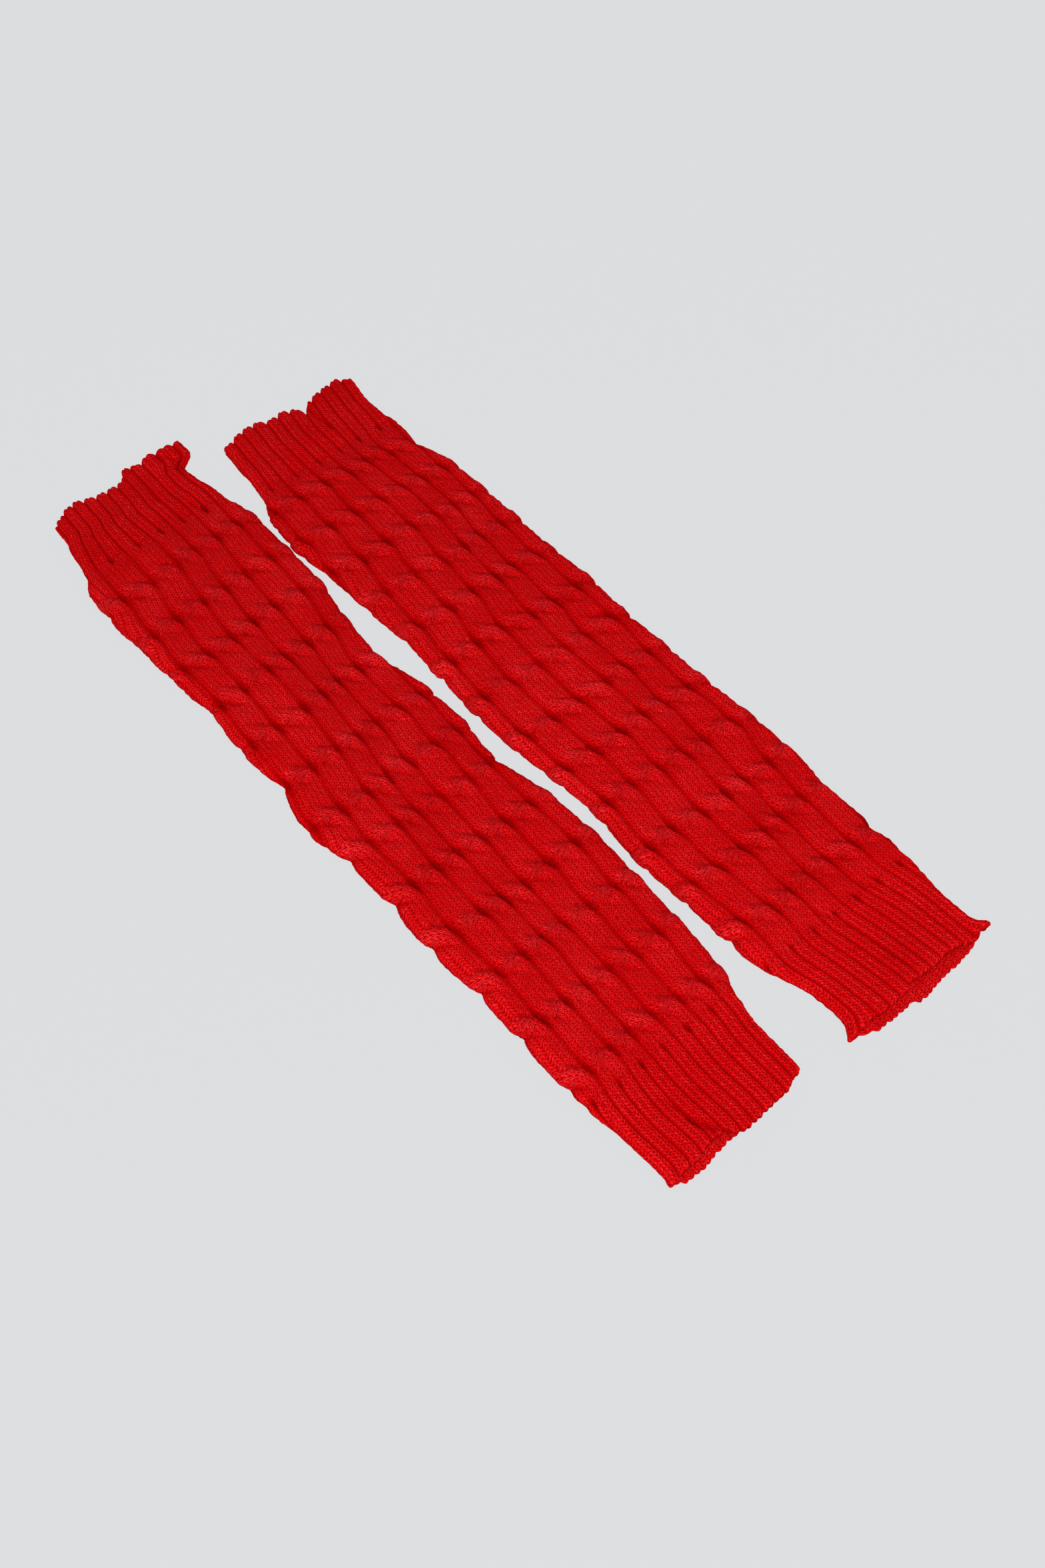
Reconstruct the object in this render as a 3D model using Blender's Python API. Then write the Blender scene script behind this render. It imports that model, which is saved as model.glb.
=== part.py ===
"""A pair of cable-knit leg warmers, laid flat side by side, in metres with +Z up.

Each leg warmer is one knitted tube: a ribbed cuff, a leg of rope cables and a second ribbed cuff.
It lies flat, so its front layer rests on its back layer with a thin hollow between them.
The length runs along Y with the upper cuffs toward +Y, and the origin is on the surface under
the middle of the pair. The tables below are in millimetres: "at" is how far a place lies below
the upper hem, and everything sideways is measured from the leg warmer's own centre line.
"""

import math
from dataclasses import dataclass

import bmesh
import bpy

MM = 0.001

# The flattened tube, in millimetres.
EDGE_RADIUS = 2.8  # the side folds are half round, so plain knit lies twice this high
BACK_WALL = 2.4
FRONT_WALL = 2.4
SIDE_WALL = 3.0
SIDE_INSET = 0.6  # the plain tube lies this far inside the outline that the stitches make
SEAM_GAP = 0.3  # where ribs turn into cables
RELIEF_FADE = 0.8  # the relief is gone where the side fold has turned this far down
FOLD_TAPER = 0.4  # the hollow closes by this share at the side folds
LIFT_STEEPNESS = 2.2  # how quickly an open mouth rises from the side folds
LIFT_REACH = 0.6  # the mouth's lift is gone this share of the way down the cuff

# The cables: two strands that keep crossing the same way, left over right.
CABLES_AROUND = 12
GROOVES_SHOWN = 7
CABLE_RELIEF = 2.6
OVER_RISE = 0.2  # a strand rises by this share where it passes over the other
UNDER_DIP = 0.6
CROSSING_HALF_LENGTH = 5.5
CROSSING_REACH = 6.0  # away from a crossing the strands lie side by side as one pillow
PILLOW_ROUNDNESS = 3.5
PILLOW_STEEPNESS = 0.75
CABLE_START = 0.35  # the share of their relief that cables have beside a cuff
CABLE_GROWTH = 10.0  # and the length over which they grow to the whole of it
STRAND_SWING = 0.21  # in shares of a cable's width
STRAND_HALF_WIDTH = 0.35

# The cuffs.
RIBS_A_CABLE = 2
RIB_RELIEF = 1.4
RIB_SCALLOP = 0.9  # a rib's end stands this far past the groove beside it
CUFF_LENGTH = 45.0
EVENING_START = -24.0  # from here in the cuff, ribs that are evenly spread at the hem begin to
EVENING_END = 12.0  # follow the cables, and from here in the leg they are the cables' own grooves

# How finely the solids are cut.
POINTS_PER_CABLE = 4
POINTS_PER_RIB = 3
BACK_POINTS = 6
INNER_POINTS_PER_SIDE = 5
SHARES_BETWEEN_CROSSINGS = (0.0, 0.2, 0.5, 0.8)
SHARES_BEFORE_FIRST_CROSSING = (0.0, 0.4, 0.75)
SHARES_AFTER_LAST_CROSSING = (0.0, 0.3, 0.65, 1.0)
SHARES_ALONG_CUFF = (0.0, 0.12, 0.26, 0.34, 0.5, 0.75, 1.0)
INNER_SHARES_ALONG_LEG = tuple(step / 12 for step in range(13))
INNER_SHARES_ALONG_CUFF = (0.0, 0.2, 0.5, 1.0)

# One row for each line of crossings. left_at and right_at say where the line meets the two side folds,
# left and right are the outline there, and g1 to g7 are the grooves between the cables.
CROSSING_COLUMNS = ("left_at", "right_at", "left", "g1", "g2", "g3", "g4", "g5", "g6", "g7", "right")
LEFT_CROSSINGS = (
    (71.8, 62.8, -50.5, -41.7, -24.2, -8.2, 3.3, 16.8, 29.8, 43.3, 38.2),
    (100.8, 92.8, -49.0, -43.2, -28.2, -11.7, 0.8, 14.3, 29.8, 43.3, 38.7),
    (129.3, 120.8, -47.1, -43.2, -28.7, -14.2, -1.2, 13.3, 29.3, 42.3, 38.6),
    (155.8, 147.8, -44.5, -41.7, -27.7, -12.2, -1.2, 11.8, 25.3, 37.3, 34.4),
    (184.8, 176.8, -46.0, -43.2, -28.7, -12.2, -0.7, 9.3, 21.3, 33.8, 33.2),
    (212.3, 210.8, -44.3, -43.7, -29.7, -14.2, -2.7, 8.8, 22.3, 34.3, 38.2),
    (238.8, 237.8, -49.2, -48.2, -32.7, -17.7, -5.7, 6.3, 22.3, 34.8, 39.3),
    (263.8, 261.8, -44.3, -48.2, -33.7, -17.7, -7.2, 6.3, 22.3, 33.8, 37.2),
    (291.8, 291.8, -42.8, -46.7, -32.2, -18.7, -7.2, 6.3, 19.8, 35.3, 43.4),
    (320.8, 321.8, -43.5, -47.7, -33.2, -17.7, -6.2, 5.8, 20.3, 36.8, 45.4),
    (349.8, 348.8, -41.1, -46.2, -31.2, -17.2, -5.7, 5.8, 19.8, 35.3, 45.4),
    (377.3, 377.3, -40.7, -45.2, -31.2, -17.7, -6.2, 6.3, 19.3, 34.3, 44.4),
    (406.3, 407.3, -40.7, -45.2, -31.2, -17.7, -7.2, 5.8, 19.3, 32.8, 42.0),
)
RIGHT_CROSSINGS = (
    (58.3, 63.3, -51.7, -50.2, -34.2, -18.2, -4.2, 7.8, 19.3, 34.3, 35.8),
    (83.8, 90.3, -54.7, -51.2, -34.7, -19.2, -3.2, 10.3, 21.8, 34.8, 40.3),
    (109.8, 115.8, -53.2, -52.7, -35.7, -19.2, -2.7, 11.3, 22.3, 34.3, 40.5),
    (139.8, 139.8, -52.5, -55.2, -40.2, -22.2, -5.7, 8.3, 18.8, 32.3, 40.1),
    (165.3, 167.8, -49.9, -56.2, -41.7, -23.2, -7.7, 7.3, 17.8, 31.8, 39.7),
    (191.8, 195.3, -51.0, -58.2, -43.7, -27.2, -11.7, 4.8, 18.3, 32.8, 40.8),
    (221.8, 223.8, -52.5, -60.2, -45.7, -29.7, -13.2, 3.3, 15.8, 33.8, 39.2),
    (248.8, 249.8, -52.1, -60.2, -45.7, -29.2, -13.2, 4.3, 17.3, 31.8, 39.6),
    (276.3, 277.8, -49.3, -58.7, -44.2, -27.2, -10.7, 4.3, 15.8, 31.3, 39.4),
    (302.8, 305.3, -47.8, -56.7, -42.2, -26.7, -11.2, 3.3, 15.3, 33.3, 40.6),
    (332.3, 333.8, -50.6, -59.2, -44.7, -29.7, -13.7, 1.8, 13.3, 28.8, 41.0),
    (358.8, 358.8, -49.5, -57.2, -42.7, -28.7, -13.2, 0.8, 10.8, 26.3, 39.7),
    (387.3, 388.8, -48.8, -54.2, -39.7, -25.2, -13.2, -1.2, 10.3, 25.3, 39.0),
)

# The outline of the cuffs, from the upper hem down.
OUTLINE_COLUMNS = ("at", "left", "right")
LEFT_UPPER_CUFF = (
    (-5.0, -41.3, 39.7),
    (6.5, -41.7, 39.2),
    (9.0, -41.8, 36.0),
    (12.8, -42.0, 31.4),
    (18.5, -42.2, 31.4),
    (26.0, -44.4, 32.3),
    (35.5, -45.8, 34.4),
    (45.0, -47.7, 35.4),
)
LEFT_LOWER_CUFF = (
    (421.5, -41.5, 39.5),
    (433.5, -39.9, 36.4),
    (441.0, -39.4, 36.1),
    (460.0, -38.1, 36.0),
    (466.0, -39.3, 36.0),
)
RIGHT_UPPER_CUFF = (
    (4.0, -43.6, 40.0),
    (11.5, -44.1, 38.6),
    (22.0, -45.4, 36.6),
    (33.0, -45.8, 36.4),
    (46.0, -47.9, 37.8),
)
RIGHT_LOWER_CUFF = (
    (410.5, -48.1, 39.0),
    (420.5, -44.1, 37.6),
    (429.5, -41.5, 36.4),
    (446.0, -40.3, 36.3),
    (450.0, -41.5, 36.7),
    (455.0, -45.8, 41.4),
)

# The hems. across runs from 0 at the left fold to 1 at the right one, and front and back are how far
# down the two layers' edges lie from the hem's own line.
HEM_COLUMNS = ("across", "front", "back")
LEFT_UPPER_HEM = (
    (0.00, 5.8, 6.3),
    (0.06, 1.8, 2.8),
    (0.17, 0.3, 1.8),
    (0.36, 4.0, 5.3),
    (0.58, 4.3, 5.3),
    (0.63, -1.7, -0.2),
    (0.68, -3.7, -2.2),
    (0.78, -1.0, -0.2),
    (0.87, -4.2, -2.7),
    (1.00, -3.7, -3.2),
)
LEFT_LOWER_HEM = (
    (0.00, -0.3, 0.0),
    (0.05, -0.6, 2.2),
    (0.21, -1.2, 2.8),
    (0.33, -3.6, 0.9),
    (0.42, -2.9, 0.2),
    (0.47, 1.0, 0.4),
    (0.55, 2.0, 0.8),
    (0.90, 0.9, 0.4),
    (1.00, -2.3, -2.0),
)
RIGHT_UPPER_HEM = (
    (0.00, 5.2, 5.4),
    (0.12, 1.9, 2.8),
    (0.23, 1.4, 2.4),
    (0.35, 4.8, 5.6),
    (0.45, 3.6, 4.8),
    (0.54, 6.3, 7.3),
    (0.60, 11.8, 12.8),
    (0.66, 6.8, 7.8),
    (0.77, 3.8, 4.8),
    (0.95, 1.4, 2.2),
    (1.00, 6.0, 6.2),
)
RIGHT_LOWER_HEM = (
    (0.00, 0.4, 0.7),
    (0.07, -0.6, 4.4),
    (0.20, 0.6, 4.2),
    (0.36, 0.2, 4.2),
    (0.40, -1.4, 6.6),
    (0.58, -0.2, 5.0),
    (0.75, -0.8, 4.2),
    (0.90, 1.0, 3.4),
    (1.00, -0.2, 0.2),
)

RED_YARN = (0.60, 0.006, 0.010, 1.0)


@dataclass
class LegWarmer:
    """One leg warmer: its tables, and where its upper hem lies."""

    name: str
    length: float
    hem_middle: tuple
    drift: float  # how far sideways the lower hem lies from the upper one
    crossings: tuple
    upper_cuff: tuple
    lower_cuff: tuple
    upper_hem: tuple
    lower_hem: tuple
    upper_mouth: float  # how far the front layer stands off the back one at the hem
    lower_mouth: float
    upper_turn: float  # the cable count at the front's left end in the upper cuff
    lower_turn: float


PAIR = (
    LegWarmer(
        "left", 465.0, (-49.0, 235.6), -4.5, LEFT_CROSSINGS, LEFT_UPPER_CUFF, LEFT_LOWER_CUFF,
        LEFT_UPPER_HEM, LEFT_LOWER_HEM, 0.6, 1.0, 0.74, 1.85,
    ),
    LegWarmer(
        "right", 455.0, (49.1, 224.4), 4.4, RIGHT_CROSSINGS, RIGHT_UPPER_CUFF, RIGHT_LOWER_CUFF,
        RIGHT_UPPER_HEM, RIGHT_LOWER_HEM, 0.6, 2.4, 1.30, 1.96,
    ),
)


def mix(a, b, share):
    return a + (b - a) * share


def clamp(value, low=0.0, high=1.0):
    return max(low, min(high, value))


def ease(share):
    """0 to 1 with a level start and end."""
    share = clamp(share)
    return share * share * (3 - 2 * share)


def read_curve(points, at):
    """The height at one place of a smooth curve through (place, height) points, level past its ends."""
    if at <= points[0][0]:
        return points[0][1]
    if at >= points[-1][0]:
        return points[-1][1]
    after = next(i for i, point in enumerate(points) if point[0] > at)
    (x0, y0), (x1, y1) = points[after - 1], points[after]

    def slope(i):
        low, high = max(i - 1, 0), min(i + 1, len(points) - 1)
        return (points[high][1] - points[low][1]) / (points[high][0] - points[low][0])

    step = x1 - x0
    t = (at - x0) / step
    start = (1 + 2 * t) * (1 - t) ** 2 * y0 + t * (1 - t) ** 2 * step * slope(after - 1)
    return start + t * t * (3 - 2 * t) * y1 + t * t * (t - 1) * step * slope(after)


def read_line(rows, column, at):
    """Reads one column of a table straight between its rows."""
    if at <= rows[0][0]:
        return rows[0][column]
    for before, after in zip(rows, rows[1:]):
        if at <= after[0]:
            return mix(before[column], after[column], (at - before[0]) / (after[0] - before[0]))
    return rows[-1][column]


class Shape:
    """The smooth curves that one leg warmer's tables give."""

    def __init__(self, leg):
        rows = [dict(zip(CROSSING_COLUMNS, row)) for row in leg.crossings]
        cuffs = (leg.upper_cuff, leg.lower_cuff)
        above, below = ([dict(zip(OUTLINE_COLUMNS, row)) for row in cuff] for cuff in cuffs)
        self.leg = leg
        self.rows = rows
        self.left_points = [(row["at"], row["left"]) for row in above]
        self.left_points += [(row["left_at"], row["left"]) for row in rows]
        self.left_points += [(row["at"], row["left"]) for row in below]
        self.right_points = [(row["at"], row["right"]) for row in above]
        self.right_points += [(row["right_at"], row["right"]) for row in rows]
        self.right_points += [(row["at"], row["right"]) for row in below]
        middles = [(row["left_at"] + row["right_at"]) / 2 for row in rows]
        self.groove_points = [
            [(middle, row[f"g{k}"]) for middle, row in zip(middles, rows)]
            for k in range(1, GROOVES_SHOWN + 1)
        ]

    def flat_top(self, at):
        """Where the flat of the front layer starts and ends sideways."""
        left = read_curve(self.left_points, at) + SIDE_INSET + EDGE_RADIUS
        right = read_curve(self.right_points, at) - SIDE_INSET - EDGE_RADIUS
        return left, right

    def around(self, at):
        left, right = self.flat_top(at)
        return 2 * (right - left) + 2 * math.pi * EDGE_RADIUS

    def groove(self, index, at):
        """Sideways place of a groove. The outermost two are a cable's width past the tables' last ones."""
        width = (self.groove(6, at) - self.groove(2, at)) / 4 if index in (0, GROOVES_SHOWN + 1) else 0
        if index == 0:
            return self.groove(1, at) - width
        if index == GROOVES_SHOWN + 1:
            return self.groove(GROOVES_SHOWN, at) + width
        return read_curve(self.groove_points[index - 1], at)

    def crossing_line(self, row, cable):
        """How far down one line of crossings lies at a cable, counted round the tube."""
        last = GROOVES_SHOWN + 0.5
        share = cable / last if cable <= last else (CABLES_AROUND - cable) / (CABLES_AROUND - last)
        return mix(self.rows[row]["left_at"], self.rows[row]["right_at"], share)

    def by_grooves(self, cable, at):
        """Distance round the tube of a place counted in cables, from the front's left end."""
        left, _ = self.flat_top(at)
        index = min(int(cable), GROOVES_SHOWN)
        if cable <= GROOVES_SHOWN + 1:
            x = mix(self.groove(index, at), self.groove(index + 1, at), cable - index)
            return x - left
        first = self.groove(0, at) - left + self.around(at)
        last = self.groove(GROOVES_SHOWN + 1, at) - left
        return mix(last, first, (cable - GROOVES_SHOWN - 1) / (CABLES_AROUND - GROOVES_SHOWN - 1))

    def from_cuff(self, at):
        """How far a place lies inside the cabled leg; below zero in a cuff."""
        return min(at - CUFF_LENGTH, self.leg.length - CUFF_LENGTH - at)

    def ring_distance(self, cable, at):
        """The same from the measured grooves in the leg, and even at the hems."""
        turn = self.leg.upper_turn if at < self.leg.length / 2 else self.leg.lower_turn
        even = (cable - turn) / CABLES_AROUND * self.around(at)
        share = (self.from_cuff(at) - EVENING_START) / (EVENING_END - EVENING_START)
        return mix(even, self.by_grooves(cable, at), ease(share))

    def place(self, distance, at, relief, lift=0.0):
        """A point of the outside: relief moves it out, and fades to nothing on the flat underside."""
        left, right = self.flat_top(at)
        arc = math.pi * EDGE_RADIUS
        distance %= self.around(at)
        flat = right - left
        if distance <= flat:
            x, angle = left + distance, 0.0
        elif distance < flat + arc:
            x, angle = right, (distance - flat) / EDGE_RADIUS
        elif distance <= 2 * flat + arc:
            x, angle = right - (distance - flat - arc), math.pi
        else:
            x, angle = left, math.pi + (distance - 2 * flat - arc) / EDGE_RADIUS
        out_x, out_z = math.sin(angle), math.cos(angle)
        reach = EDGE_RADIUS + relief * clamp(1 + out_z / RELIEF_FADE)
        raised = lift * clamp((1 + out_z) / 2) * self.bulge(x, at)
        return x + out_x * reach, max(0.0, EDGE_RADIUS + out_z * reach) + raised

    def bulge(self, x, at):
        """1 along the middle and 0 at the side folds."""
        left, right = self.flat_top(at)
        return ease(LIFT_STEEPNESS * (1 - abs(2 * (x - left) / (right - left) - 1)))

    def to_world(self, x, at, z):
        middle_x, hem_y = self.leg.hem_middle
        x += middle_x + self.leg.drift * at / self.leg.length
        return x * MM, (hem_y - at) * MM, z * MM


def dome(offset):
    """A strand's rounded back, 1 on its middle line and 0 from offset 1 out."""
    return math.sqrt(max(0.0, 1 - offset * offset))


def cable_relief(shape, cable, at):
    """How far a rope cable stands out at one place."""
    across = cable % 1.0
    middle_of_cable = math.floor(cable) + 0.5
    gaps = [at - shape.crossing_line(row, middle_of_cable) for row in range(len(shape.rows))]
    past = min(gaps, key=abs)
    swing = STRAND_SWING * (2 * ease(0.5 + past / (2 * CROSSING_HALF_LENGTH)) - 1)
    near = math.exp(-((past / CROSSING_REACH) ** 2))
    over = (1 + OVER_RISE * near) * dome((across - 0.5 - swing) / STRAND_HALF_WIDTH)
    under = (1 - UNDER_DIP * near) * dome((across - 0.5 + swing) / STRAND_HALF_WIDTH)
    pillow = (1 - abs(2 * across - 1) ** PILLOW_ROUNDNESS) ** PILLOW_STEEPNESS
    return CABLE_RELIEF * mix(pillow, max(over, under), near)


def leg_relief(shape, cable, at):
    """Cables that grow out of the cuffs' lower relief."""
    if not 0 <= cable <= GROOVES_SHOWN + 1:
        return 0.0
    growth = mix(CABLE_START, 1.0, ease(shape.from_cuff(at) / CABLE_GROWTH))
    return cable_relief(shape, cable, at) * growth


def leg_ring(shape, down):
    """One ring of the cabled leg's outside. down gives each cable's place along the length."""
    fine = [step / POINTS_PER_CABLE for step in range((GROOVES_SHOWN + 1) * POINTS_PER_CABLE + 1)]
    hidden = CABLES_AROUND - GROOVES_SHOWN - 1
    plain = [GROOVES_SHOWN + 1 + hidden * step / BACK_POINTS for step in range(1, BACK_POINTS)]
    ring = []
    for cable in fine + plain:
        at = down(cable)
        distance = shape.ring_distance(cable, at)
        x, z = shape.place(distance, at, leg_relief(shape, cable, at))
        ring.append((distance / shape.around(at) % 1.0, shape.to_world(x, at, z)))
    return ring


def leg_rings(shape):
    """All rings of the cabled leg's outside. They follow the slant of the crossing lines."""
    start, end = leg_span(shape.leg)
    lines = [lambda cable: start]
    lines += [lambda cable, row=row: shape.crossing_line(row, cable) for row in range(len(shape.rows))]
    lines += [lambda cable: end]
    rings = []
    for index, (before, after) in enumerate(zip(lines, lines[1:])):
        shares = SHARES_BETWEEN_CROSSINGS
        if index == 0:
            shares = SHARES_BEFORE_FIRST_CROSSING
        if index == len(lines) - 2:
            shares = SHARES_AFTER_LAST_CROSSING
        for share in shares:
            rings.append(leg_ring(shape, lambda cable: mix(before(cable), after(cable), share)))
    return rings


def leg_span(leg):
    return CUFF_LENGTH + SEAM_GAP / 2, leg.length - CUFF_LENGTH - SEAM_GAP / 2


def hem_line(shape, upper, distance):
    """How far down a cuff's hem lies at a distance round it, and whether that is on the front layer."""
    leg = shape.leg
    rows = leg.upper_hem if upper else leg.lower_hem
    nominal = 0.0 if upper else leg.length
    left, right = shape.flat_top(nominal)
    flat, arc = right - left, math.pi * EDGE_RADIUS
    distance %= shape.around(nominal)
    if distance > shape.around(nominal) - arc / 2:
        distance -= shape.around(nominal)
    in_front = distance <= flat + arc / 2
    across = distance / flat if in_front else 1 - (distance - flat - arc) / flat
    return nominal + read_line(rows, 1 if in_front else 2, clamp(across)), in_front


def cuff_place(shape, upper, cable, share_down, crest):
    """A point of a cuff's outside, share_down of the way from its hem to the leg."""
    leg = shape.leg
    seam = CUFF_LENGTH - SEAM_GAP / 2 if upper else leg.length - CUFF_LENGTH + SEAM_GAP / 2
    nominal = 0.0 if upper else leg.length
    hem, in_front = hem_line(shape, upper, shape.ring_distance(cable, nominal))
    if in_front:
        hem += (-RIB_SCALLOP if upper else RIB_SCALLOP) * crest
    at = mix(hem, seam, share_down)
    mouth = leg.upper_mouth if upper else leg.lower_mouth
    lift = mouth * (1 - ease(share_down / LIFT_REACH))
    distance = shape.ring_distance(cable, at)
    x, z = shape.place(distance, at, RIB_RELIEF * crest, lift)
    return distance / shape.around(at) % 1.0, shape.to_world(x, at, z)


def cuff_rings(shape, upper):
    """All rings of a cuff's outside: ribs on the front and round the folds, plain behind."""
    shown = GROOVES_SHOWN + 1
    steps = RIBS_A_CABLE * POINTS_PER_RIB
    fine = [step / steps for step in range(shown * steps + 1)]
    plain = [mix(shown, CABLES_AROUND, step / BACK_POINTS) for step in range(1, BACK_POINTS)]
    rings = []
    for share_down in SHARES_ALONG_CUFF:
        ring = []
        for cable in fine + plain:
            crest = math.sin(math.pi * (cable * RIBS_A_CABLE % 1.0)) if cable <= shown else 0.0
            ring.append(cuff_place(shape, upper, cable, share_down, crest))
        rings.append(ring)
    return rings if upper else rings[::-1]


def inner_ring(shape, at_front, at_back, lift):
    """One ring of the plain hollow between the two layers."""
    ring = []
    arc = math.pi * EDGE_RADIUS
    layers = (("front", at_front, 2 * EDGE_RADIUS - FRONT_WALL), ("back", at_back, BACK_WALL))
    for layer, at_of, height in layers:
        for step in range(INNER_POINTS_PER_SIDE + 1):
            across = step / INNER_POINTS_PER_SIDE if layer == "front" else 1 - step / INNER_POINTS_PER_SIDE
            at = at_of(across)
            left, right = shape.flat_top(at)
            inset = SIDE_WALL - EDGE_RADIUS
            x = mix(left + inset, right - inset, across)
            raised = lift * shape.bulge(x, at) if layer == "front" else 0.0
            distance = x - left if layer == "front" else (right - left) + arc + (right - x)
            at_fold = step in (0, INNER_POINTS_PER_SIDE)
            z = mix(height, EDGE_RADIUS, FOLD_TAPER) if at_fold else height + raised
            ring.append((distance / shape.around(at) % 1.0, shape.to_world(x, at, z)))
    return ring


def leg_inner_rings(shape):
    start, end = leg_span(shape.leg)
    rings = []
    for share in INNER_SHARES_ALONG_LEG:
        at = mix(start, end, share)
        rings.append(inner_ring(shape, lambda across: at, lambda across: at, 0.0))
    return rings


def cuff_inner_rings(shape, upper):
    leg = shape.leg
    seam = CUFF_LENGTH - SEAM_GAP / 2 if upper else leg.length - CUFF_LENGTH + SEAM_GAP / 2
    nominal = 0.0 if upper else leg.length
    hem = leg.upper_hem if upper else leg.lower_hem
    mouth = leg.upper_mouth if upper else leg.lower_mouth
    rings = []
    for share in INNER_SHARES_ALONG_CUFF:
        def front(across):
            return mix(nominal + read_line(hem, 1, across), seam, share)

        def back(across):
            return mix(nominal + read_line(hem, 2, across), seam, share)

        rings.append(inner_ring(shape, front, back, mouth * (1 - ease(share / LIFT_REACH))))
    return rings if upper else rings[::-1]


def add_skin(mesh, rings):
    """Joins rings of equally many points with quads, and returns each ring's vertices."""
    skin = [[mesh.verts.new(point) for _, point in ring] for ring in rings]
    for ring, following in zip(skin, skin[1:]):
        for i in range(len(ring)):
            j = (i + 1) % len(ring)
            mesh.faces.new((ring[i], ring[j], following[j], following[i]))
    return skin


def add_rim(mesh, outer_ring, outer_verts, inner_ring_points, inner_verts):
    """Fills between two rings with unlike numbers of points, in step round the tube."""

    def in_order(ring, verts):
        first = min(range(len(ring)), key=lambda i: ring[i][0])
        order = [(first + i) % len(ring) for i in range(len(ring))]
        shares = [ring[i][0] for i in order] + [ring[first][0] + 1]
        return shares, [verts[i] for i in order] + [verts[first]]

    outer_shares, outer = in_order(outer_ring, outer_verts)
    inner_shares, inner = in_order(inner_ring_points, inner_verts)
    i = j = 0
    while i < len(outer) - 1 or j < len(inner) - 1:
        step_outer = j == len(inner) - 1
        if i < len(outer) - 1 and j < len(inner) - 1:
            step_outer = outer_shares[i + 1] <= inner_shares[j + 1]
        if step_outer:
            mesh.faces.new((outer[i], outer[i + 1], inner[j]))
            i += 1
        else:
            mesh.faces.new((outer[i], inner[j + 1], inner[j]))
            j += 1


def add_tube(name, outer_rings, inner_rings, material, collection):
    """A wall between an outer and an inner skin, open at both ends."""
    mesh = bmesh.new()
    outer = add_skin(mesh, outer_rings)
    inner = add_skin(mesh, inner_rings)
    for end in (0, -1):
        add_rim(mesh, outer_rings[end], outer[end], inner_rings[end], inner[end])
    bmesh.ops.triangulate(mesh, faces=mesh.faces[:])
    bmesh.ops.recalc_face_normals(mesh, faces=mesh.faces[:])
    data = bpy.data.meshes.new(name)
    mesh.to_mesh(data)
    mesh.free()
    data.materials.append(material)
    tube = bpy.data.objects.new(name, data)
    collection.objects.link(tube)
    return tube


def yarn_material():
    material = bpy.data.materials.new("red_knit_yarn")
    material.use_nodes = True
    surface = material.node_tree.nodes["Principled BSDF"]
    surface.inputs["Base Color"].default_value = RED_YARN
    surface.inputs["Roughness"].default_value = 0.95
    surface.inputs["Metallic"].default_value = 0.0
    return material


def centre_on_origin(tubes):
    """Moves the pair sideways and along so that the origin is under its middle."""
    corners = [vertex.co for tube in tubes for vertex in tube.data.vertices]
    middles = [(min(c[axis] for c in corners) + max(c[axis] for c in corners)) / 2 for axis in (0, 1)]
    for tube in tubes:
        tube.location = (-middles[0], -middles[1], 0.0)


def main():
    for leftover in list(bpy.data.objects):
        bpy.data.objects.remove(leftover)
    collection = bpy.data.collections.new("cable_knit_leg_warmers")
    bpy.context.scene.collection.children.link(collection)
    yarn = yarn_material()
    tubes = []
    for leg in PAIR:
        shape = Shape(leg)
        upper = (cuff_rings(shape, True), cuff_inner_rings(shape, True))
        middle = (leg_rings(shape), leg_inner_rings(shape))
        lower = (cuff_rings(shape, False), cuff_inner_rings(shape, False))
        tubes.append(add_tube(f"{leg.name}_upper_cuff", *upper, yarn, collection))
        tubes.append(add_tube(f"{leg.name}_cabled_leg", *middle, yarn, collection))
        tubes.append(add_tube(f"{leg.name}_lower_cuff", *lower, yarn, collection))
    centre_on_origin(tubes)


main()
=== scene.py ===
"""A pair of cable-knit leg warmers in soft red yarn, laid flat side by side on a pale surface.

Six knitted shells stand for the six CAD nodes: two cabled legs and their four ribbed cuffs. Each
shell is one closed wall, worked round the flattened tube from the same tables as the solids, and
sampled finely enough for strands, ribs and hems. The yarn material draws the single stitches.
Lengths in the tables are in millimetres: "at" is how far a place lies below the upper hem, and
everything sideways is measured from the leg warmer's own centre line.
"""
import math

import bpy
import numpy as np
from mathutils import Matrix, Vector


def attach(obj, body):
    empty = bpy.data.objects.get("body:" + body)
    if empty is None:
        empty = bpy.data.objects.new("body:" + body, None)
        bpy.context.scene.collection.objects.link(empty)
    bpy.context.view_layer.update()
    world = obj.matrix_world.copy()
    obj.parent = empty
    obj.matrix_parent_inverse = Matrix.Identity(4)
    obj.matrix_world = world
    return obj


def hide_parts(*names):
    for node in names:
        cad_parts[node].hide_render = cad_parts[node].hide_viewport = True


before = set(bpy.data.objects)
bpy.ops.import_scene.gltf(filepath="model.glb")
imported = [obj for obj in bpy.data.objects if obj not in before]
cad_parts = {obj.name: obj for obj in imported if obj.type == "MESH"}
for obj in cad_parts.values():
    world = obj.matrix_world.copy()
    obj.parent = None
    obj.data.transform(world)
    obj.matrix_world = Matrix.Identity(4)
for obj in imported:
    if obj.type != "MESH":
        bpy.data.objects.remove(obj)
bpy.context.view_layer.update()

MM = 0.001

# The flattened tube.
EDGE_RADIUS = 2.8  # the side folds are half round
WALL = 2.4
SIDE_WALL = 3.0
SIDE_INSET = 0.6  # the plain tube lies this far inside the outline that the stitches make
RELIEF_FADE = 0.8  # outward relief is gone where the side fold has turned this far down
UNDERSIDE_RELIEF = 0.45  # underneath, grooves go this share of their depth up from the surface
LIFT_STEEPNESS = 2.2  # how steeply an open mouth rises from its side folds
LIFT_REACH = 0.6  # it opens over this share of the cuff, up to the hem
CUFF_LENGTH = 45.0

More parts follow.
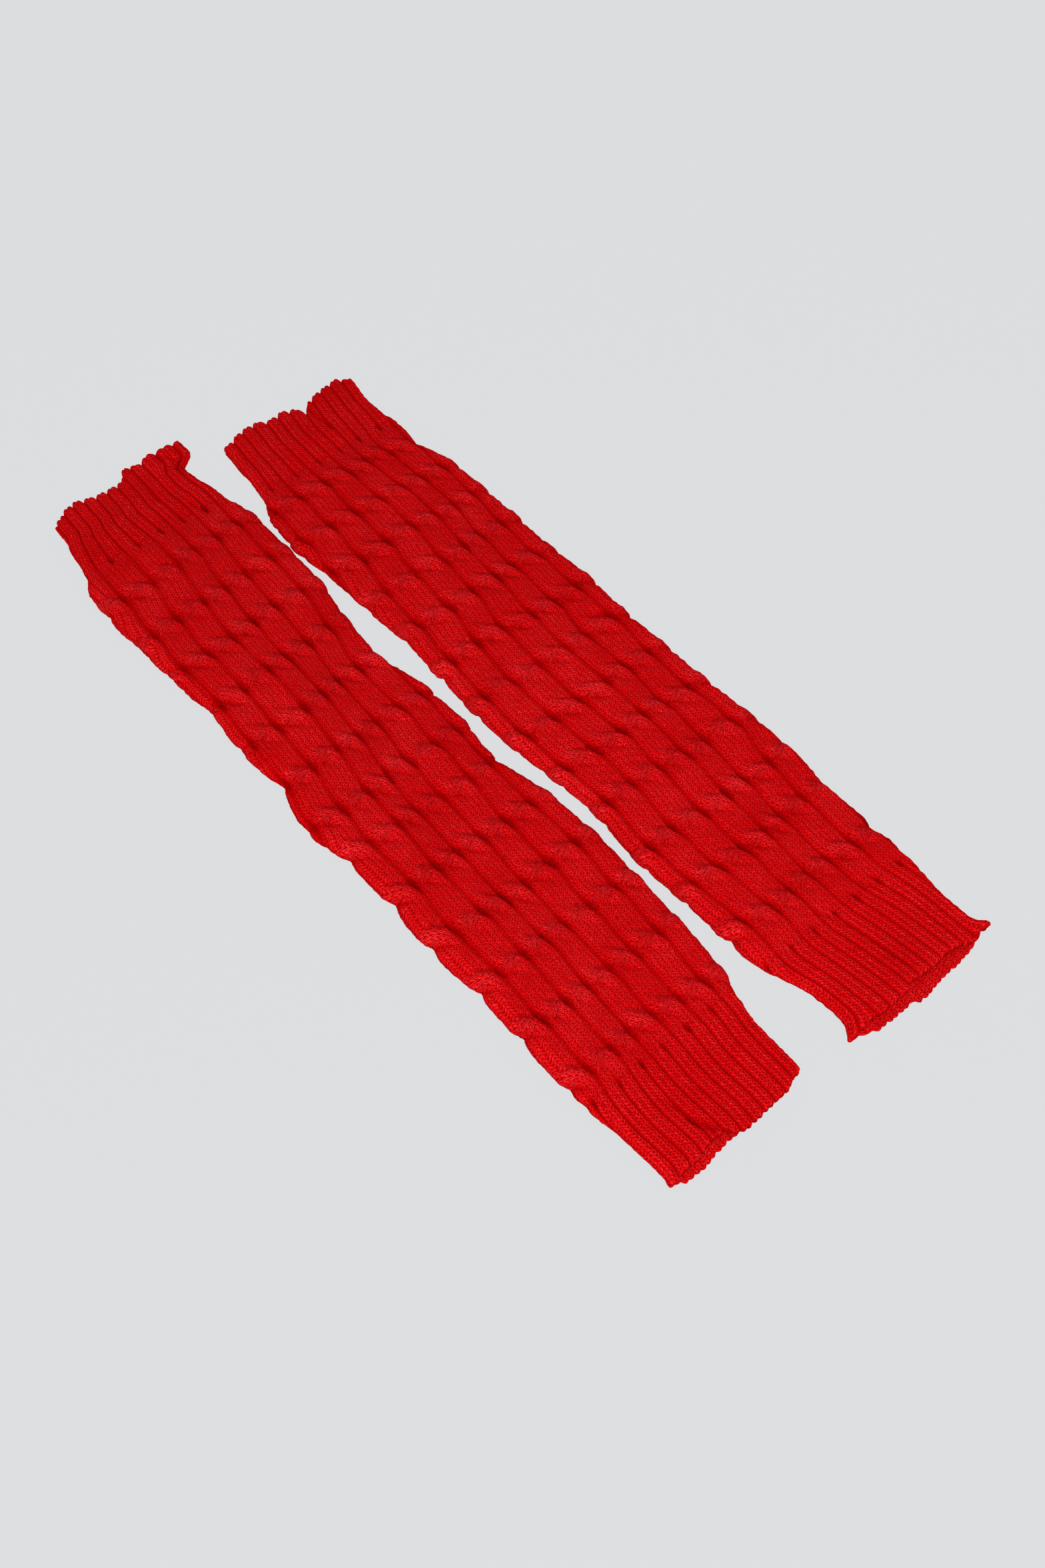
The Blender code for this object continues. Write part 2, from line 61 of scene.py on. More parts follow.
# The cables: two strands that keep crossing the same way, left over right.
CABLES_AROUND = 12
GROOVES_SHOWN = 7
CABLE_WIDTH = 13.5
CABLE_RELIEF = 2.3
CABLE_START = 0.6  # the share of their relief that cables have beside a cuff
CABLE_GROWTH = 12.0  # they have all of it this far inside the leg
STRAND_SWING = 3.15  # how far a strand's middle lies from the cable's, half of three stitches each way
OVER_HALF_LENGTH = 5.2  # the over-strand goes from one side to the other within this, each way
OVER_HALF_WIDTH = 4.2
OVER_RISE = 0.44
OVER_REACH = 6.0  # how far from the crossing the over-strand stands higher
UNDER_HALF_LENGTH = 4.6
LOOSENESS = (0.85, 1.3)  # each crossing is tighter or looser by a factor between these
EDGE_START = 5.7  # the over-strand's edges start this far to the sides at the crossing
EDGE_SLOPE = 0.85  # and run on to the right by this much for each millimetre down
EDGE_SOFTNESS = 0.9  # how round the over-strand's edge is
SHADOW_WIDTH = 1.7  # how far from that edge the under-strand is still low
LOWER_SHADOW = (4.6, 5.0, 0.60)  # below a crossing: how far on, over what length, how deep
UPPER_SHADOW = (-4.0, 4.0, 0.28)  # and above it
PILLOW_HALF_WIDTH = 6.65  # between crossings both strands together are twice this wide
WAIST = 0.95  # and twice this much narrower at a crossing
WAIST_LENGTH = 5.0
PILLOW_ROUNDNESS = 4.2
PILLOW_STEEPNESS = 0.7
MEANDER = 1.2  # how far a groove can stray to the right below a crossing
MEANDER_BACK = 0.4  # and to the left above it
MEANDER_START = 8.0
MEANDER_LENGTH = 6.5
CLOSED_LEAST = 0.13  # the cables touch in the grooves, which fills them by this share
CLOSED_MOST = 0.36  # and by up to this in places away from the crossings
CLOSED_LENGTH = 22.0
CLOSED_STRIDE = 57.0  # keeps each groove's unevenness apart from the next one's
OPEN_LENGTH = 6.0  # how far from a crossing its groove starts to close
CROSSING_SCATTER = 1.1  # how unevenly the crossings of one line lie
MOST_SCATTER = 1.8  # times that, at most
HOLE_DEPTH = 1.1  # beside a crossing the groove opens into a small hole
HOLE_HALF_LENGTH = 3.2
HOLE_HALF_WIDTH = 1.2
HOLE_LEAN = 1.2  # it lies this far above the crossing at the right and below it at the left
HOLE_OPENNESS = 1.9  # it has from none of that depth to this many times as much
HOLE_RARITY = 1.6  # and large holes are rarer than small ones
HOLE_TO_CREST = 1.5  # a hole of this depth gets as much painted shade as the bottom of a groove
NOTCH_LENGTH = 5.0  # at the side folds the cables stand out between crossings, with notches at them
SWELL = 0.35  # slow unevenness of the whole surface
SWELL_LENGTH = 34.0

# The ribs of the cuffs, two columns of stitches each and two ribs to a cable.
RIBS_A_CABLE = 2
RIB_RELIEF = 1.6
RIB_ROUNDNESS = 4
RIB_SPLIT = 0.42  # the shallow valley between a rib's two columns
RIB_SPLIT_HALF_WIDTH = 0.08  # as a share of the rib
RIB_FADE = 7.0  # the ribs run this far into the leg before they are gone
INSIDE_RIB_RELIEF = 0.5
INSIDE_RIB_STEEPNESS = 2  # the ribs inside a cuff are lost with the way in from the mouth
INSIDE_RIB_START = 0.6
EYELET_DEPTH = 1.5  # where two ribs become one cable, the groove between them ends in a hole
EYELET_HALF_LENGTH = 2.4
EYELET_HALF_WIDTH = 1.1
EYELET_MEAN = 0.6  # these holes have this share of that depth, and this much more or less
EYELET_SPREAD = 0.4
EVENING_START = -24.0  # from here in the cuff to there in the leg, evenly spread ribs bend to the cables
EVENING_END = 12.0

# Stitches.
STITCH_WIDTH = 2.1
RIB_STITCH_WIDTH = 2.7
ROW_HEIGHT = 1.75
EDGE_BUMPS = 0.16  # stitches make the outline uneven by this much
EDGE_BUMP_LENGTH = 2.6
EDGE_BUMP_TURN = 3  # the bumps change round the fold as they do over this length

# Waves of random directions and lengths, added up for smooth unevenness.
WAVES = 7
WAVE_PITCHES = (0.8, 2.0)
WAVES_TOGETHER = 3.2

# Creases.
CREASE_BEND = 0.15  # they stray sideways by this share of their half width
CREASE_BEND_TURN = 7  # radians of that curve from one end to the other
CREASE_FADE = 5  # they fade over a fifth of their length
CREASE_END = 0.5  # and are half as deep at their ends
CREASE_SHADE = 0.35  # painted shade: how much darker a millimetre of crease is made

# Hems: the ends of the ribs stand out as scallops, with a bead for each column of stitches.
SCALLOP_ROUNDNESS = 2.2
BEAD_SHIFT = 0.06
UPPER_UNEVENNESS = 0.35
UPPER_BEADS = 0.35
LOWER_UNEVENNESS = 0.3
LOWER_BEADS = 0.7
HEM_ROUNDING = 1.1

# How finely the shells are cut.
LEG_STEPS = (24, 12)  # points to a cable, on the front and on the back
LEG_RINGS = 400
LEG_INNER_RINGS = 12
CUFF_STEPS = (40, 20)
CUFF_RINGS = 100
CUFF_EVEN_TO = 0.955  # a cuff's rings are evenly spread from the leg to here, and then close to the hem
CUFF_NEAR_HEM = (0.97, 0.985, 0.995, 1.0)
# The rings of its inside, from the hem back to the leg.
CUFF_INNER_SHARES = (1.0, 0.98, 0.95, 0.91, 0.86, 0.8, 0.7, 0.5, 0.25, 0.0)
INSIDE_PAINTED_SHADING = 0.15  # painted shade: the inside of the tube is in the shade

# One row for each line of crossings: where it meets the left and the right side fold, the outline there
# at the left, the seven grooves between the cables from left to right, and the outline at the right.
LEFT_CROSSINGS = (
    (71.8, 62.8, -50.5, -41.7, -24.2, -8.2, 3.3, 16.8, 29.8, 43.3, 38.2),
    (100.8, 92.8, -49.0, -43.2, -28.2, -11.7, 0.8, 14.3, 29.8, 43.3, 38.7),
    (129.3, 120.8, -47.1, -43.2, -28.7, -14.2, -1.2, 13.3, 29.3, 42.3, 38.6),
    (155.8, 147.8, -44.5, -41.7, -27.7, -12.2, -1.2, 11.8, 25.3, 37.3, 34.4),
    (184.8, 176.8, -46.0, -43.2, -28.7, -12.2, -0.7, 9.3, 21.3, 33.8, 33.2),
    (212.3, 210.8, -44.3, -43.7, -29.7, -14.2, -2.7, 8.8, 22.3, 34.3, 38.2),
    (238.8, 237.8, -49.2, -48.2, -32.7, -17.7, -5.7, 6.3, 22.3, 34.8, 39.3),
    (263.8, 261.8, -44.3, -48.2, -33.7, -17.7, -7.2, 6.3, 22.3, 33.8, 37.2),
    (291.8, 291.8, -42.8, -46.7, -32.2, -18.7, -7.2, 6.3, 19.8, 35.3, 43.4),
    (320.8, 321.8, -43.5, -47.7, -33.2, -17.7, -6.2, 5.8, 20.3, 36.8, 45.4),
    (349.8, 348.8, -41.1, -46.2, -31.2, -17.2, -5.7, 5.8, 19.8, 35.3, 45.4),
    (377.3, 377.3, -40.7, -45.2, -31.2, -17.7, -6.2, 6.3, 19.3, 34.3, 44.4),
    (406.3, 407.3, -40.7, -45.2, -31.2, -17.7, -7.2, 5.8, 19.3, 32.8, 42.0),
)
RIGHT_CROSSINGS = (
    (58.3, 63.3, -51.7, -50.2, -34.2, -18.2, -4.2, 7.8, 19.3, 34.3, 35.8),
    (83.8, 90.3, -54.7, -51.2, -34.7, -19.2, -3.2, 10.3, 21.8, 34.8, 40.3),
    (109.8, 115.8, -53.2, -52.7, -35.7, -19.2, -2.7, 11.3, 22.3, 34.3, 40.5),
    (139.8, 139.8, -52.5, -55.2, -40.2, -22.2, -5.7, 8.3, 18.8, 32.3, 40.1),
    (165.3, 167.8, -49.9, -56.2, -41.7, -23.2, -7.7, 7.3, 17.8, 31.8, 39.7),
    (191.8, 195.3, -51.0, -58.2, -43.7, -27.2, -11.7, 4.8, 18.3, 32.8, 40.8),
    (221.8, 223.8, -52.5, -60.2, -45.7, -29.7, -13.2, 3.3, 15.8, 33.8, 39.2),
    (248.8, 249.8, -52.1, -60.2, -45.7, -29.2, -13.2, 4.3, 17.3, 31.8, 39.6),
    (276.3, 277.8, -49.3, -58.7, -44.2, -27.2, -10.7, 4.3, 15.8, 31.3, 39.4),
    (302.8, 305.3, -47.8, -56.7, -42.2, -26.7, -11.2, 3.3, 15.3, 33.3, 40.6),
    (332.3, 333.8, -50.6, -59.2, -44.7, -29.7, -13.7, 1.8, 13.3, 28.8, 41.0),
    (358.8, 358.8, -49.5, -57.2, -42.7, -28.7, -13.2, 0.8, 10.8, 26.3, 39.7),
    (387.3, 388.8, -48.8, -54.2, -39.7, -25.2, -13.2, -1.2, 10.3, 25.3, 39.0),
)

# The outline of the cuffs without their flared corners, from the upper hem down: at, left and right.
LEFT_UPPER_CUFF = (
    (-5.0, -41.3, 30.6),
    (6.5, -41.7, 31.0),
    (12.8, -42.0, 31.4),
    (18.5, -42.2, 31.4),
    (26.0, -44.4, 32.3),
    (35.5, -45.8, 34.4),
    (45.0, -47.7, 35.4),
)
LEFT_LOWER_CUFF = (
    (421.5, -41.5, 39.5),
    (433.5, -39.9, 36.4),
    (441.0, -39.4, 36.1),
    (460.0, -38.1, 36.0),
    (466.0, -39.3, 36.0),
)
RIGHT_UPPER_CUFF = (
    (4.0, -43.6, 40.0),
    (11.5, -44.1, 38.6),
    (22.0, -45.4, 36.6),
    (33.0, -45.8, 36.4),
    (46.0, -47.9, 37.8),
)
RIGHT_LOWER_CUFF = (
    (410.5, -48.1, 39.0),
    (420.5, -44.1, 37.6),
    (429.5, -41.5, 36.4),
    (446.0, -40.3, 36.3),
    (455.0, -40.3, 36.3),
)

# Corners of a hem that flare out: the side, -1 at the left and 1 at the right, how much of the cuff
# bends with the corner, and points that say how far out it goes at each place.
LEFT_FLARES = (
    (1, 17.0, ((-5.0, 9.1), (0.0, 8.9), (6.5, 8.2), (9.0, 5.0), (12.8, 0.0))),
)
RIGHT_FLARES = (
    (-1, 9.0, ((444.0, 0.0), (450.0, 1.4), (455.0, 5.3))),
    (1, 9.0, ((444.0, 0.0), (450.0, 0.7), (455.0, 5.0))),
)

# The hems: the share of the way across from the left fold to the right one, and how far down the
# front and the back layer's edges lie there from the hem's own line.
LEFT_UPPER_HEM = (
    (0.00, 5.8, 6.3),
    (0.06, 1.8, 2.8),
    (0.17, 0.3, 1.8),
    (0.36, 4.0, 5.3),
    (0.58, 4.3, 5.3),
    (0.63, -1.7, -0.2),
    (0.68, -3.7, -2.2),
    (0.78, -1.0, -0.2),
    (0.87, -4.2, -2.7),
    (1.00, -3.7, -3.2),
)
LEFT_LOWER_HEM = (
    (0.00, -0.3, 0.0),
    (0.05, -0.6, 2.2),
    (0.21, -1.2, 2.8),
    (0.33, -3.6, 0.9),
    (0.42, -2.9, 0.2),
    (0.47, 1.0, 0.4),
    (0.55, 2.0, 0.8),
    (0.90, 0.9, 0.4),
    (1.00, -2.3, -2.0),
)
RIGHT_UPPER_HEM = (
    (0.00, 5.2, 5.4),
    (0.12, 1.9, 2.8),
    (0.23, 1.4, 2.4),
    (0.35, 4.8, 5.6),
    (0.45, 3.6, 4.8),
    (0.54, 6.3, 7.3),
    (0.60, 11.8, 12.8),
    (0.66, 6.8, 7.8),
    (0.77, 3.8, 4.8),
    (0.95, 1.4, 2.2),
    (1.00, 6.0, 6.2),
)
RIGHT_LOWER_HEM = (
    (0.00, 0.4, 0.7),
    (0.07, -0.6, 4.4),
    (0.20, 0.6, 4.2),
    (0.36, 0.2, 4.2),
    (0.40, -1.4, 6.6),
    (0.58, -0.2, 5.0),
    (0.75, -0.8, 4.2),
    (0.90, 1.0, 3.4),
    (1.00, -0.2, 0.2),
)

# Creases: soft troughs from one place to another, on the front or the back layer.
CREASE_COLUMNS = ("layer", "x0", "at0", "x1", "at1", "depth", "half_width")
LEFT_CREASES = (
    ("front", 6.9, -6.0, 7.4, 26.0, 0.9, 1.0),
    ("front", 27.0, 7.0, 30.5, 27.0, 1.0, 1.3),
    ("front", 20.5, -2.0, 26.5, 12.0, 0.7, 1.2),
    ("front", 20.0, 36.0, 22.5, 50.0, 1.1, 1.5),
    ("front", -17.4, 433.0, -15.2, 448.0, 0.9, 1.3),
    ("front", -15.2, 448.0, -9.9, 461.0, 1.6, 2.2),
    ("front", -30.5, 428.0, -28.0, 458.0, 0.7, 1.1),
    ("front", -8.0, 150.0, 6.0, 171.0, 0.5, 5.0),
    ("front", 24.0, 262.0, 38.0, 250.0, 0.5, 4.0),
    ("front", -36.0, 330.0, -22.0, 342.0, 0.4, 4.5),
    ("back", -22.0, 96.0, 8.0, 118.0, 0.5, 4.5),
    ("back", 26.0, 214.0, -4.0, 236.0, 0.4, 5.0),
    ("back", -34.0, 342.0, -6.0, 331.0, 0.5, 4.0),
    ("back", 8.0, 8.0, 10.0, 38.0, 0.5, 1.6),
    ("back", -12.0, 430.0, -8.0, 459.0, 0.5, 1.8),
)
RIGHT_CREASES = (
    ("front", 7.4, 8.0, 8.6, 30.0, 1.5, 1.4),
    ("front", -12.6, 402.0, -7.0, 420.0, 0.8, 1.3),
    ("front", -7.0, 420.0, -3.0, 446.0, 0.7, 1.4),
    ("front", 12.0, 405.0, 17.0, 416.0, 0.8, 1.5),
    ("front", 24.0, 214.0, 33.0, 221.0, 1.3, 2.6),
    ("front", -42.0, 120.0, -24.0, 131.0, 0.5, 4.5),
    ("front", 4.0, 300.0, 22.0, 291.0, 0.4, 5.0),
    ("back", 18.0, 82.0, -12.0, 99.0, 0.5, 4.5),
    ("back", -30.0, 201.0, -2.0, 219.0, 0.4, 5.0),
    ("back", 24.0, 312.0, -6.0, 325.0, 0.5, 4.0),
    ("back", -9.0, 12.0, -11.0, 40.0, 0.5, 1.6),
    ("back", 14.0, 418.0, 10.0, 448.0, 0.5, 1.8),
)

# Each leg warmer: how long it is, where the middle of its upper hem lies in the model, which cable count
# lies at the left end of the front in the upper and the lower cuff, how far sideways the lower hem lies
# from the upper one, its tables, and how far the two mouths stand open. scallops are those of the upper
# and the lower hem, and side_lumps say how far the cables stand out at the left and the right fold.
PAIR = {
    "left": {
        "length": 465.0,
        "hem_middle": (-46.0505, 234.0029),
        "turns": (0.74, 1.85),
        "drift": -4.5,
        "crossings": LEFT_CROSSINGS,
        "upper_cuff": LEFT_UPPER_CUFF,
        "lower_cuff": LEFT_LOWER_CUFF,
        "flares": LEFT_FLARES,
        "upper_hem": LEFT_UPPER_HEM,
        "lower_hem": LEFT_LOWER_HEM,
        "upper_mouth": 0.6,
        "lower_mouth": 1.0,
        "creases": LEFT_CREASES,
        "scallops": (1.15, 0.5),
        "side_lumps": (2.1, 0.4),
        "seed": 11,
    },
    "right": {
        "length": 455.0,
        "hem_middle": (52.0495, 222.8029),
        "turns": (1.30, 1.96),
        "drift": 4.4,
        "crossings": RIGHT_CROSSINGS,
        "upper_cuff": RIGHT_UPPER_CUFF,
        "lower_cuff": RIGHT_LOWER_CUFF,
        "flares": RIGHT_FLARES,
        "upper_hem": RIGHT_UPPER_HEM,
        "lower_hem": RIGHT_LOWER_HEM,
        "upper_mouth": 0.6,
        "lower_mouth": 2.4,
        "creases": RIGHT_CREASES,
        "scallops": (1.6, 0.6),
        "side_lumps": (0.7, 0.5),
        "seed": 23,
    },
}

CAMERA_PLACE = (-0.3030, -0.3947, 0.6541)
CAMERA_HEADING = 40.16  # degrees to the right of the length
CAMERA_PITCH = 55.0
CAMERA_LENS = 40.0
CAMERA_SENSOR = 36.0
CAMERA_CLIP = 0.01

# The yarn's pattern of stitches. A noise has a scale, in cells for each metre or each stitch.
TUG_SCALE = 420.0
TUG = 0.5  # stitches are pulled sideways by up to half of this share of a column
PULL_SCALE = 380.0
PULL = 0.9  # and along by up to half of this share of a row
PULL_SHIFT = 3.7  # so that both don't follow the same noise
LOOP_ROUNDNESS = 0.4
COLUMN_GAP = 0.10  # the gap between two columns
COLUMN_GAP_DEPTH = 0.25
MIDDLE_GAP = 0.20  # the gap in the middle of a column, which is deepest where two stitches meet
MIDDLE_GAP_LENGTH = 0.34
MIDDLE_GAP_DEPTH = 0.20
MIDDLE_GAP_EXTRA = 0.60
STREAK_SCALE = 1.6
STREAKS_A_COLUMN = 0.9
STREAKS_A_ROW = 4.0
FUZZ_SCALE = 1900.0
LUMP_SCALE = 55.0
FINE_DETAIL = 3.0
FINE_ROUGHNESS = 0.65
STITCH_BUMP = 0.8
STREAK_BUMP = 0.6
FUZZ_BUMP = 0.5
BUMP_DISTANCE = 0.0005

# The yarn's colours and how light it is between the dark and the bright one; the dark end carries painted
# shade and the bright end painted light.
DARK_RED = (0.24, 0.0, 0.0, 1.0)
BRIGHT_RED = (0.86, 0.001, 0.003, 1.0)
# the colour of the painted highlights, pale specks on the fuzz
FIBRE_HIGHLIGHT_RED = (1.0, 0.060, 0.070, 1.0)
LIGHT = 0.34
# painted shade: the stitches' gaps are this much darker than their loops
STITCH_LIGHT = 0.40
STREAK_LIGHT = 0.50
FUZZ_LIGHT = 0.28
LUMP_LIGHT = 0.20
DEEP_POWER = 2.2
DEEP_SHADE = 0.65  # painted shade: how much darker the bottom of a groove is made
PROUD_LIGHT = 0.24  # painted light: how much lighter the over-strand is made for a whole relief above the other crests
FIBRE_HIGHLIGHT_GAIN = 1.18  # painted highlights: pale specks on the fuzz show only where the yarn is brightest
FIBRE_HIGHLIGHT_POWER = 8.0
FIBRE_HIGHLIGHT_START = 0.40  # and where the fuzz is thick
FIBRE_HIGHLIGHT_STEEPNESS = 4.5
ROUGHNESS = 0.82
FUZZ_ROUGHNESS = 0.18
SHEEN = 0.04
SHEEN_ROUGHNESS = 0.5
SHEEN_TINT = (1.0, 0.03, 0.03, 1.0)

# The board, the light from all round, and two area lights: place, size and power.
BOARD_HALF = 4.0
BOARD_DROP = 0.0002
BOARD_TONES = ((0.024, 0.025, 0.026, 1.0), (0.026, 0.027, 0.028, 1.0))
BOARD_TONE_SCALE = 6.0
BOARD_GLOW = (0.692, 0.699, 0.712, 1.0)
BOARD_ROUGHNESS = 0.9
BOARD_SPECULAR = 0.1
SKY = (0.97, 0.985, 1.0, 1.0)
SKY_STRENGTH = 0.50
LIGHTS = {
    "key": ((-0.54, -0.70, 0.93), 0.7, 12.6),
    "fill": ((0.9, -0.9, 1.6), 1.4, 3.0),
}


def mix(a, b, share):
    """From a to b by a share."""
    return a + (b - a) * share


def ease(share):
    """0 to 1 with a level start and end."""
    share = np.clip(share, 0, 1)
    return share * share * (3 - 2 * share)


def read_curve(places, heights, at):
    """A smooth curve through the points, level past its ends, read at an array of places."""
    places, heights = np.asarray(places, float), np.asarray(heights, float)
    slopes = np.gradient(heights) / np.gradient(places)
    index = np.clip(np.searchsorted(places, at, side="right") - 1, 0, len(places) - 2)
    step = places[index + 1] - places[index]
    t = np.clip((at - places[index]) / step, 0, 1)
    start = (1 + 2 * t) * (1 - t) ** 2 * heights[index] + t * (1 - t) ** 2 * step * slopes[index]
    return start + t * t * (3 - 2 * t) * heights[index + 1] + t * t * (t - 1) * step * slopes[index + 1]


def wobble(x, y, size, seed):
    """Smooth unevenness between about -1 and 1, with lumps of the given size."""
    rng = np.random.default_rng(seed)
    total = np.zeros(np.broadcast(x, y).shape)
    for _ in range(WAVES):
        turn, phase = rng.uniform(0, 2 * math.pi, 2)
        pitch = size * rng.uniform(*WAVE_PITCHES)
        total += np.sin((x * math.cos(turn) + y * math.sin(turn)) * 2 * math.pi / pitch + phase)
    return total / WAVES_TOGETHER


class Tube:
    """The smooth curves of one leg warmer, in millimetres, read for whole arrays of places at once."""

    def __init__(self, facts):
        rows = np.array(facts["crossings"])
        above, below = np.array(facts["upper_cuff"]), np.array(facts["lower_cuff"])
        self.facts = facts
        self.length = facts["length"]
        self.left_edge = np.concatenate([above[:, [0, 1]], rows[:, [0, 2]], below[:, [0, 1]]])
        self.right_edge = np.concatenate([above[:, [0, 2]], rows[:, [1, 10]], below[:, [0, 2]]])
        self.middles = (rows[:, 0] + rows[:, 1]) / 2
        self.groove_rows = rows[:, 3:10]
        self.lines = self.crossing_lines(rows)
        rng = np.random.default_rng(facts["seed"] + 1)
        self.looseness = rng.uniform(*LOOSENESS, self.lines.shape)
        self.openness = HOLE_OPENNESS * rng.uniform(0.0, 1.0, self.lines.shape) ** HOLE_RARITY
        self.rib_ends = rng.uniform(-1.0, 1.0, CABLES_AROUND * RIBS_A_CABLE)
        self.strays = rng.uniform(0.0, 1.0, self.lines.shape) ** 2 * MEANDER
        self.strays_back = rng.uniform(0.0, 1.0, self.lines.shape) * MEANDER_BACK

    def crossing_lines(self, rows):
        """How far down each line of crossings lies at each cable, with a little scatter."""
        rng = np.random.default_rng(self.facts["seed"])
        last = GROOVES_SHOWN + 0.5
        cables = np.arange(CABLES_AROUND) + 0.5
        share = np.where(cables <= last, cables / last, (CABLES_AROUND - cables) / (CABLES_AROUND - last))
        lines = rows[:, [0]] + (rows[:, [1]] - rows[:, [0]]) * share
        scatter = np.clip(rng.normal(0, 1, lines.shape), -MOST_SCATTER, MOST_SCATTER)
        return lines + scatter * CROSSING_SCATTER

    def flat_top(self, at):
        """Where the flat of the front layer starts and ends sideways."""
        left = read_curve(*self.left_edge.T, at) + SIDE_INSET + EDGE_RADIUS
        right = read_curve(*self.right_edge.T, at) - SIDE_INSET - EDGE_RADIUS
        return left, right

    def around(self, at):
        """The way round the tube."""
        left, right = self.flat_top(at)
        return 2 * (right - left) + 2 * math.pi * EDGE_RADIUS

    def grooves(self, at):
        """Sideways places of the grooves 0 to 8, the outermost a cable's width past the measured ones."""
        measured = [read_curve(self.middles, self.groove_rows[:, k], at) for k in range(GROOVES_SHOWN)]
        width = (measured[5] - measured[1]) / 4
        return np.stack([measured[0] - width, *measured, measured[-1] + width])

    def by_grooves(self, cable, at):
        """Distance round the tube of a place counted in cables, from the front's left end."""
        left, _ = self.flat_top(at)
        lines = self.grooves(at)
        index = np.clip(np.floor(cable).astype(int), 0, GROOVES_SHOWN)
        before = np.take_along_axis(lines, index[None], 0)[0]
        after = np.take_along_axis(lines, index[None] + 1, 0)[0]
        in_front = mix(before, after, cable - index) - left
        first = lines[0] - left + self.around(at)
        last = lines[-1] - left
        shown = GROOVES_SHOWN + 1
        behind = mix(last, first, (cable - shown) / (CABLES_AROUND - shown))
        return np.where(cable <= shown, in_front, behind)

    def from_cuff(self, at):
        """How far a place lies inside the cabled leg; below zero in a cuff."""
        return np.minimum(at - CUFF_LENGTH, self.length - CUFF_LENGTH - at)

    def distance(self, cable, at):
        """Distance round the tube, from the measured grooves in the leg and even in the cuffs."""
        turn = np.where(at < self.length / 2, *self.facts["turns"])
        even = (cable - turn) / CABLES_AROUND * self.around(at)
        share = ease((self.from_cuff(at) - EVENING_START) / (EVENING_END - EVENING_START))
        return mix(even, self.by_grooves(cable, at), share)

    def bulge(self, x, at):
        """1 along the middle and 0 at the side folds."""
        left, right = self.flat_top(at)
        return ease(LIFT_STEEPNESS * (1 - np.abs(2 * (x - left) / (right - left) - 1)))

    def fold(self, distance, at):
        """Where a distance round the tube lies: sideways place, and the way out of the wall there."""
        left, right = self.flat_top(at)
        arc = math.pi * EDGE_RADIUS
        distance = distance % self.around(at)
        flat = right - left
        past_right = np.clip((distance - flat) / EDGE_RADIUS, 0, math.pi)
        past_left = np.clip((distance - 2 * flat - arc) / EDGE_RADIUS, 0, math.pi)
        angle = past_right + past_left
        on_back = np.clip(distance - flat - arc, 0, flat)
        x = left + np.clip(distance, 0, flat) - on_back
        return x, np.sin(angle), np.cos(angle)

    def flared(self, x, at):
        """Bends the flared corners of the hems outward."""
        left, right = self.flat_top(at)
        moved = x
        for side, width, points in self.facts["flares"]:
            edge = right + EDGE_RADIUS if side > 0 else left - EDGE_RADIUS
            places, outs = zip(*points)
            weight = ease(1 - side * (edge - x) / width)
            moved = moved + side * read_curve(places, outs, at) * weight
        return moved

    def to_model(self, x, at, z):
        """Points of the model, in metres."""
        middle_x, hem_y = self.facts["hem_middle"]
        x = self.flared(x, at) + middle_x + self.facts["drift"] * at / self.length
        return np.stack(np.broadcast_arrays(x, hem_y - at, z), axis=-1) * MM


def ring_cables(steps):
    """The cable counts of one ring's points: fine over the front and its folds, coarser behind."""
    shown = GROOVES_SHOWN + 1
    front = np.arange(shown * steps[0]) / steps[0]
    hidden = CABLES_AROUND - shown
    back = shown + np.arange(hidden * steps[1]) / steps[1]
    return np.concatenate([front, back])[None, :]


def half_turn(share):
    """From -1 to 1 and its slope, for a share from -1 to 1."""
    share = np.clip(share, -1, 1)
    return 1.5 * share - 0.5 * share**3, 1.5 * (1 - share * share)


def hill(place, middle, length):
    """1 at the middle, and nearly 0 from two lengths away."""
    return np.exp(-(((place - middle) / length) ** 2))


def meander(tube, cable, at):
    """The cable count after the grooves have strayed a little sideways above and below each crossing."""
    before = np.floor(cable).astype(int) % CABLES_AROUND
    after = (before + 1) % CABLES_AROUND
    strays = []
    for groove in (before, after):
        past = at - tube.lines[:, groove]
        to_right = tube.strays[:, groove] * hill(past, MEANDER_START, MEANDER_LENGTH)
        to_left = tube.strays_back[:, groove] * hill(past, -MEANDER_START, MEANDER_LENGTH)
        strays.append((to_right - to_left).sum(0))
    return cable - mix(strays[0], strays[1], cable % 1.0) / CABLE_WIDTH


def nearest_crossing(tube, cable, at):
    """Place in a cable: sideways of its middle, past the nearest crossing, and how loose and open that is."""
    index = np.floor(cable).astype(int) % CABLES_AROUND
    sideways = (cable % 1.0 - 0.5) * CABLE_WIDTH
    gaps = at - tube.lines[:, index]
    nearest = np.abs(gaps).argmin(0)
    past = np.take_along_axis(gaps, nearest[None], 0)[0]
    return sideways, past, tube.looseness[nearest, index], tube.openness[nearest, index]


def closed_share(tube, cable, at, past):
    """How far the groove nearest to a place is closed, because the cables beside it touch."""
    groove = np.round(cable) % CABLES_AROUND
    uneven = 0.5 + 0.5 * wobble(groove * CLOSED_STRIDE, at, CLOSED_LENGTH, tube.facts["seed"] + 7)
    return mix(CLOSED_LEAST, CLOSED_MOST, np.clip(uneven, 0, 1) * (1 - hill(past, 0, OPEN_LENGTH)))


def strand_edge(sideways, past, side, shadow, loose):
    """How much the under-strand sinks along one edge of the over-strand."""
    start, length, depth = shadow
    beyond = side * (sideways - EDGE_SLOPE * past) - EDGE_START
    beyond = beyond / math.hypot(1, EDGE_SLOPE)
    profile = np.where(beyond > 0, np.exp(-np.abs(beyond) / SHADOW_WIDTH), hill(beyond, 0, EDGE_SOFTNESS))
    return depth * loose**2 * hill(past, start, length) * profile, beyond


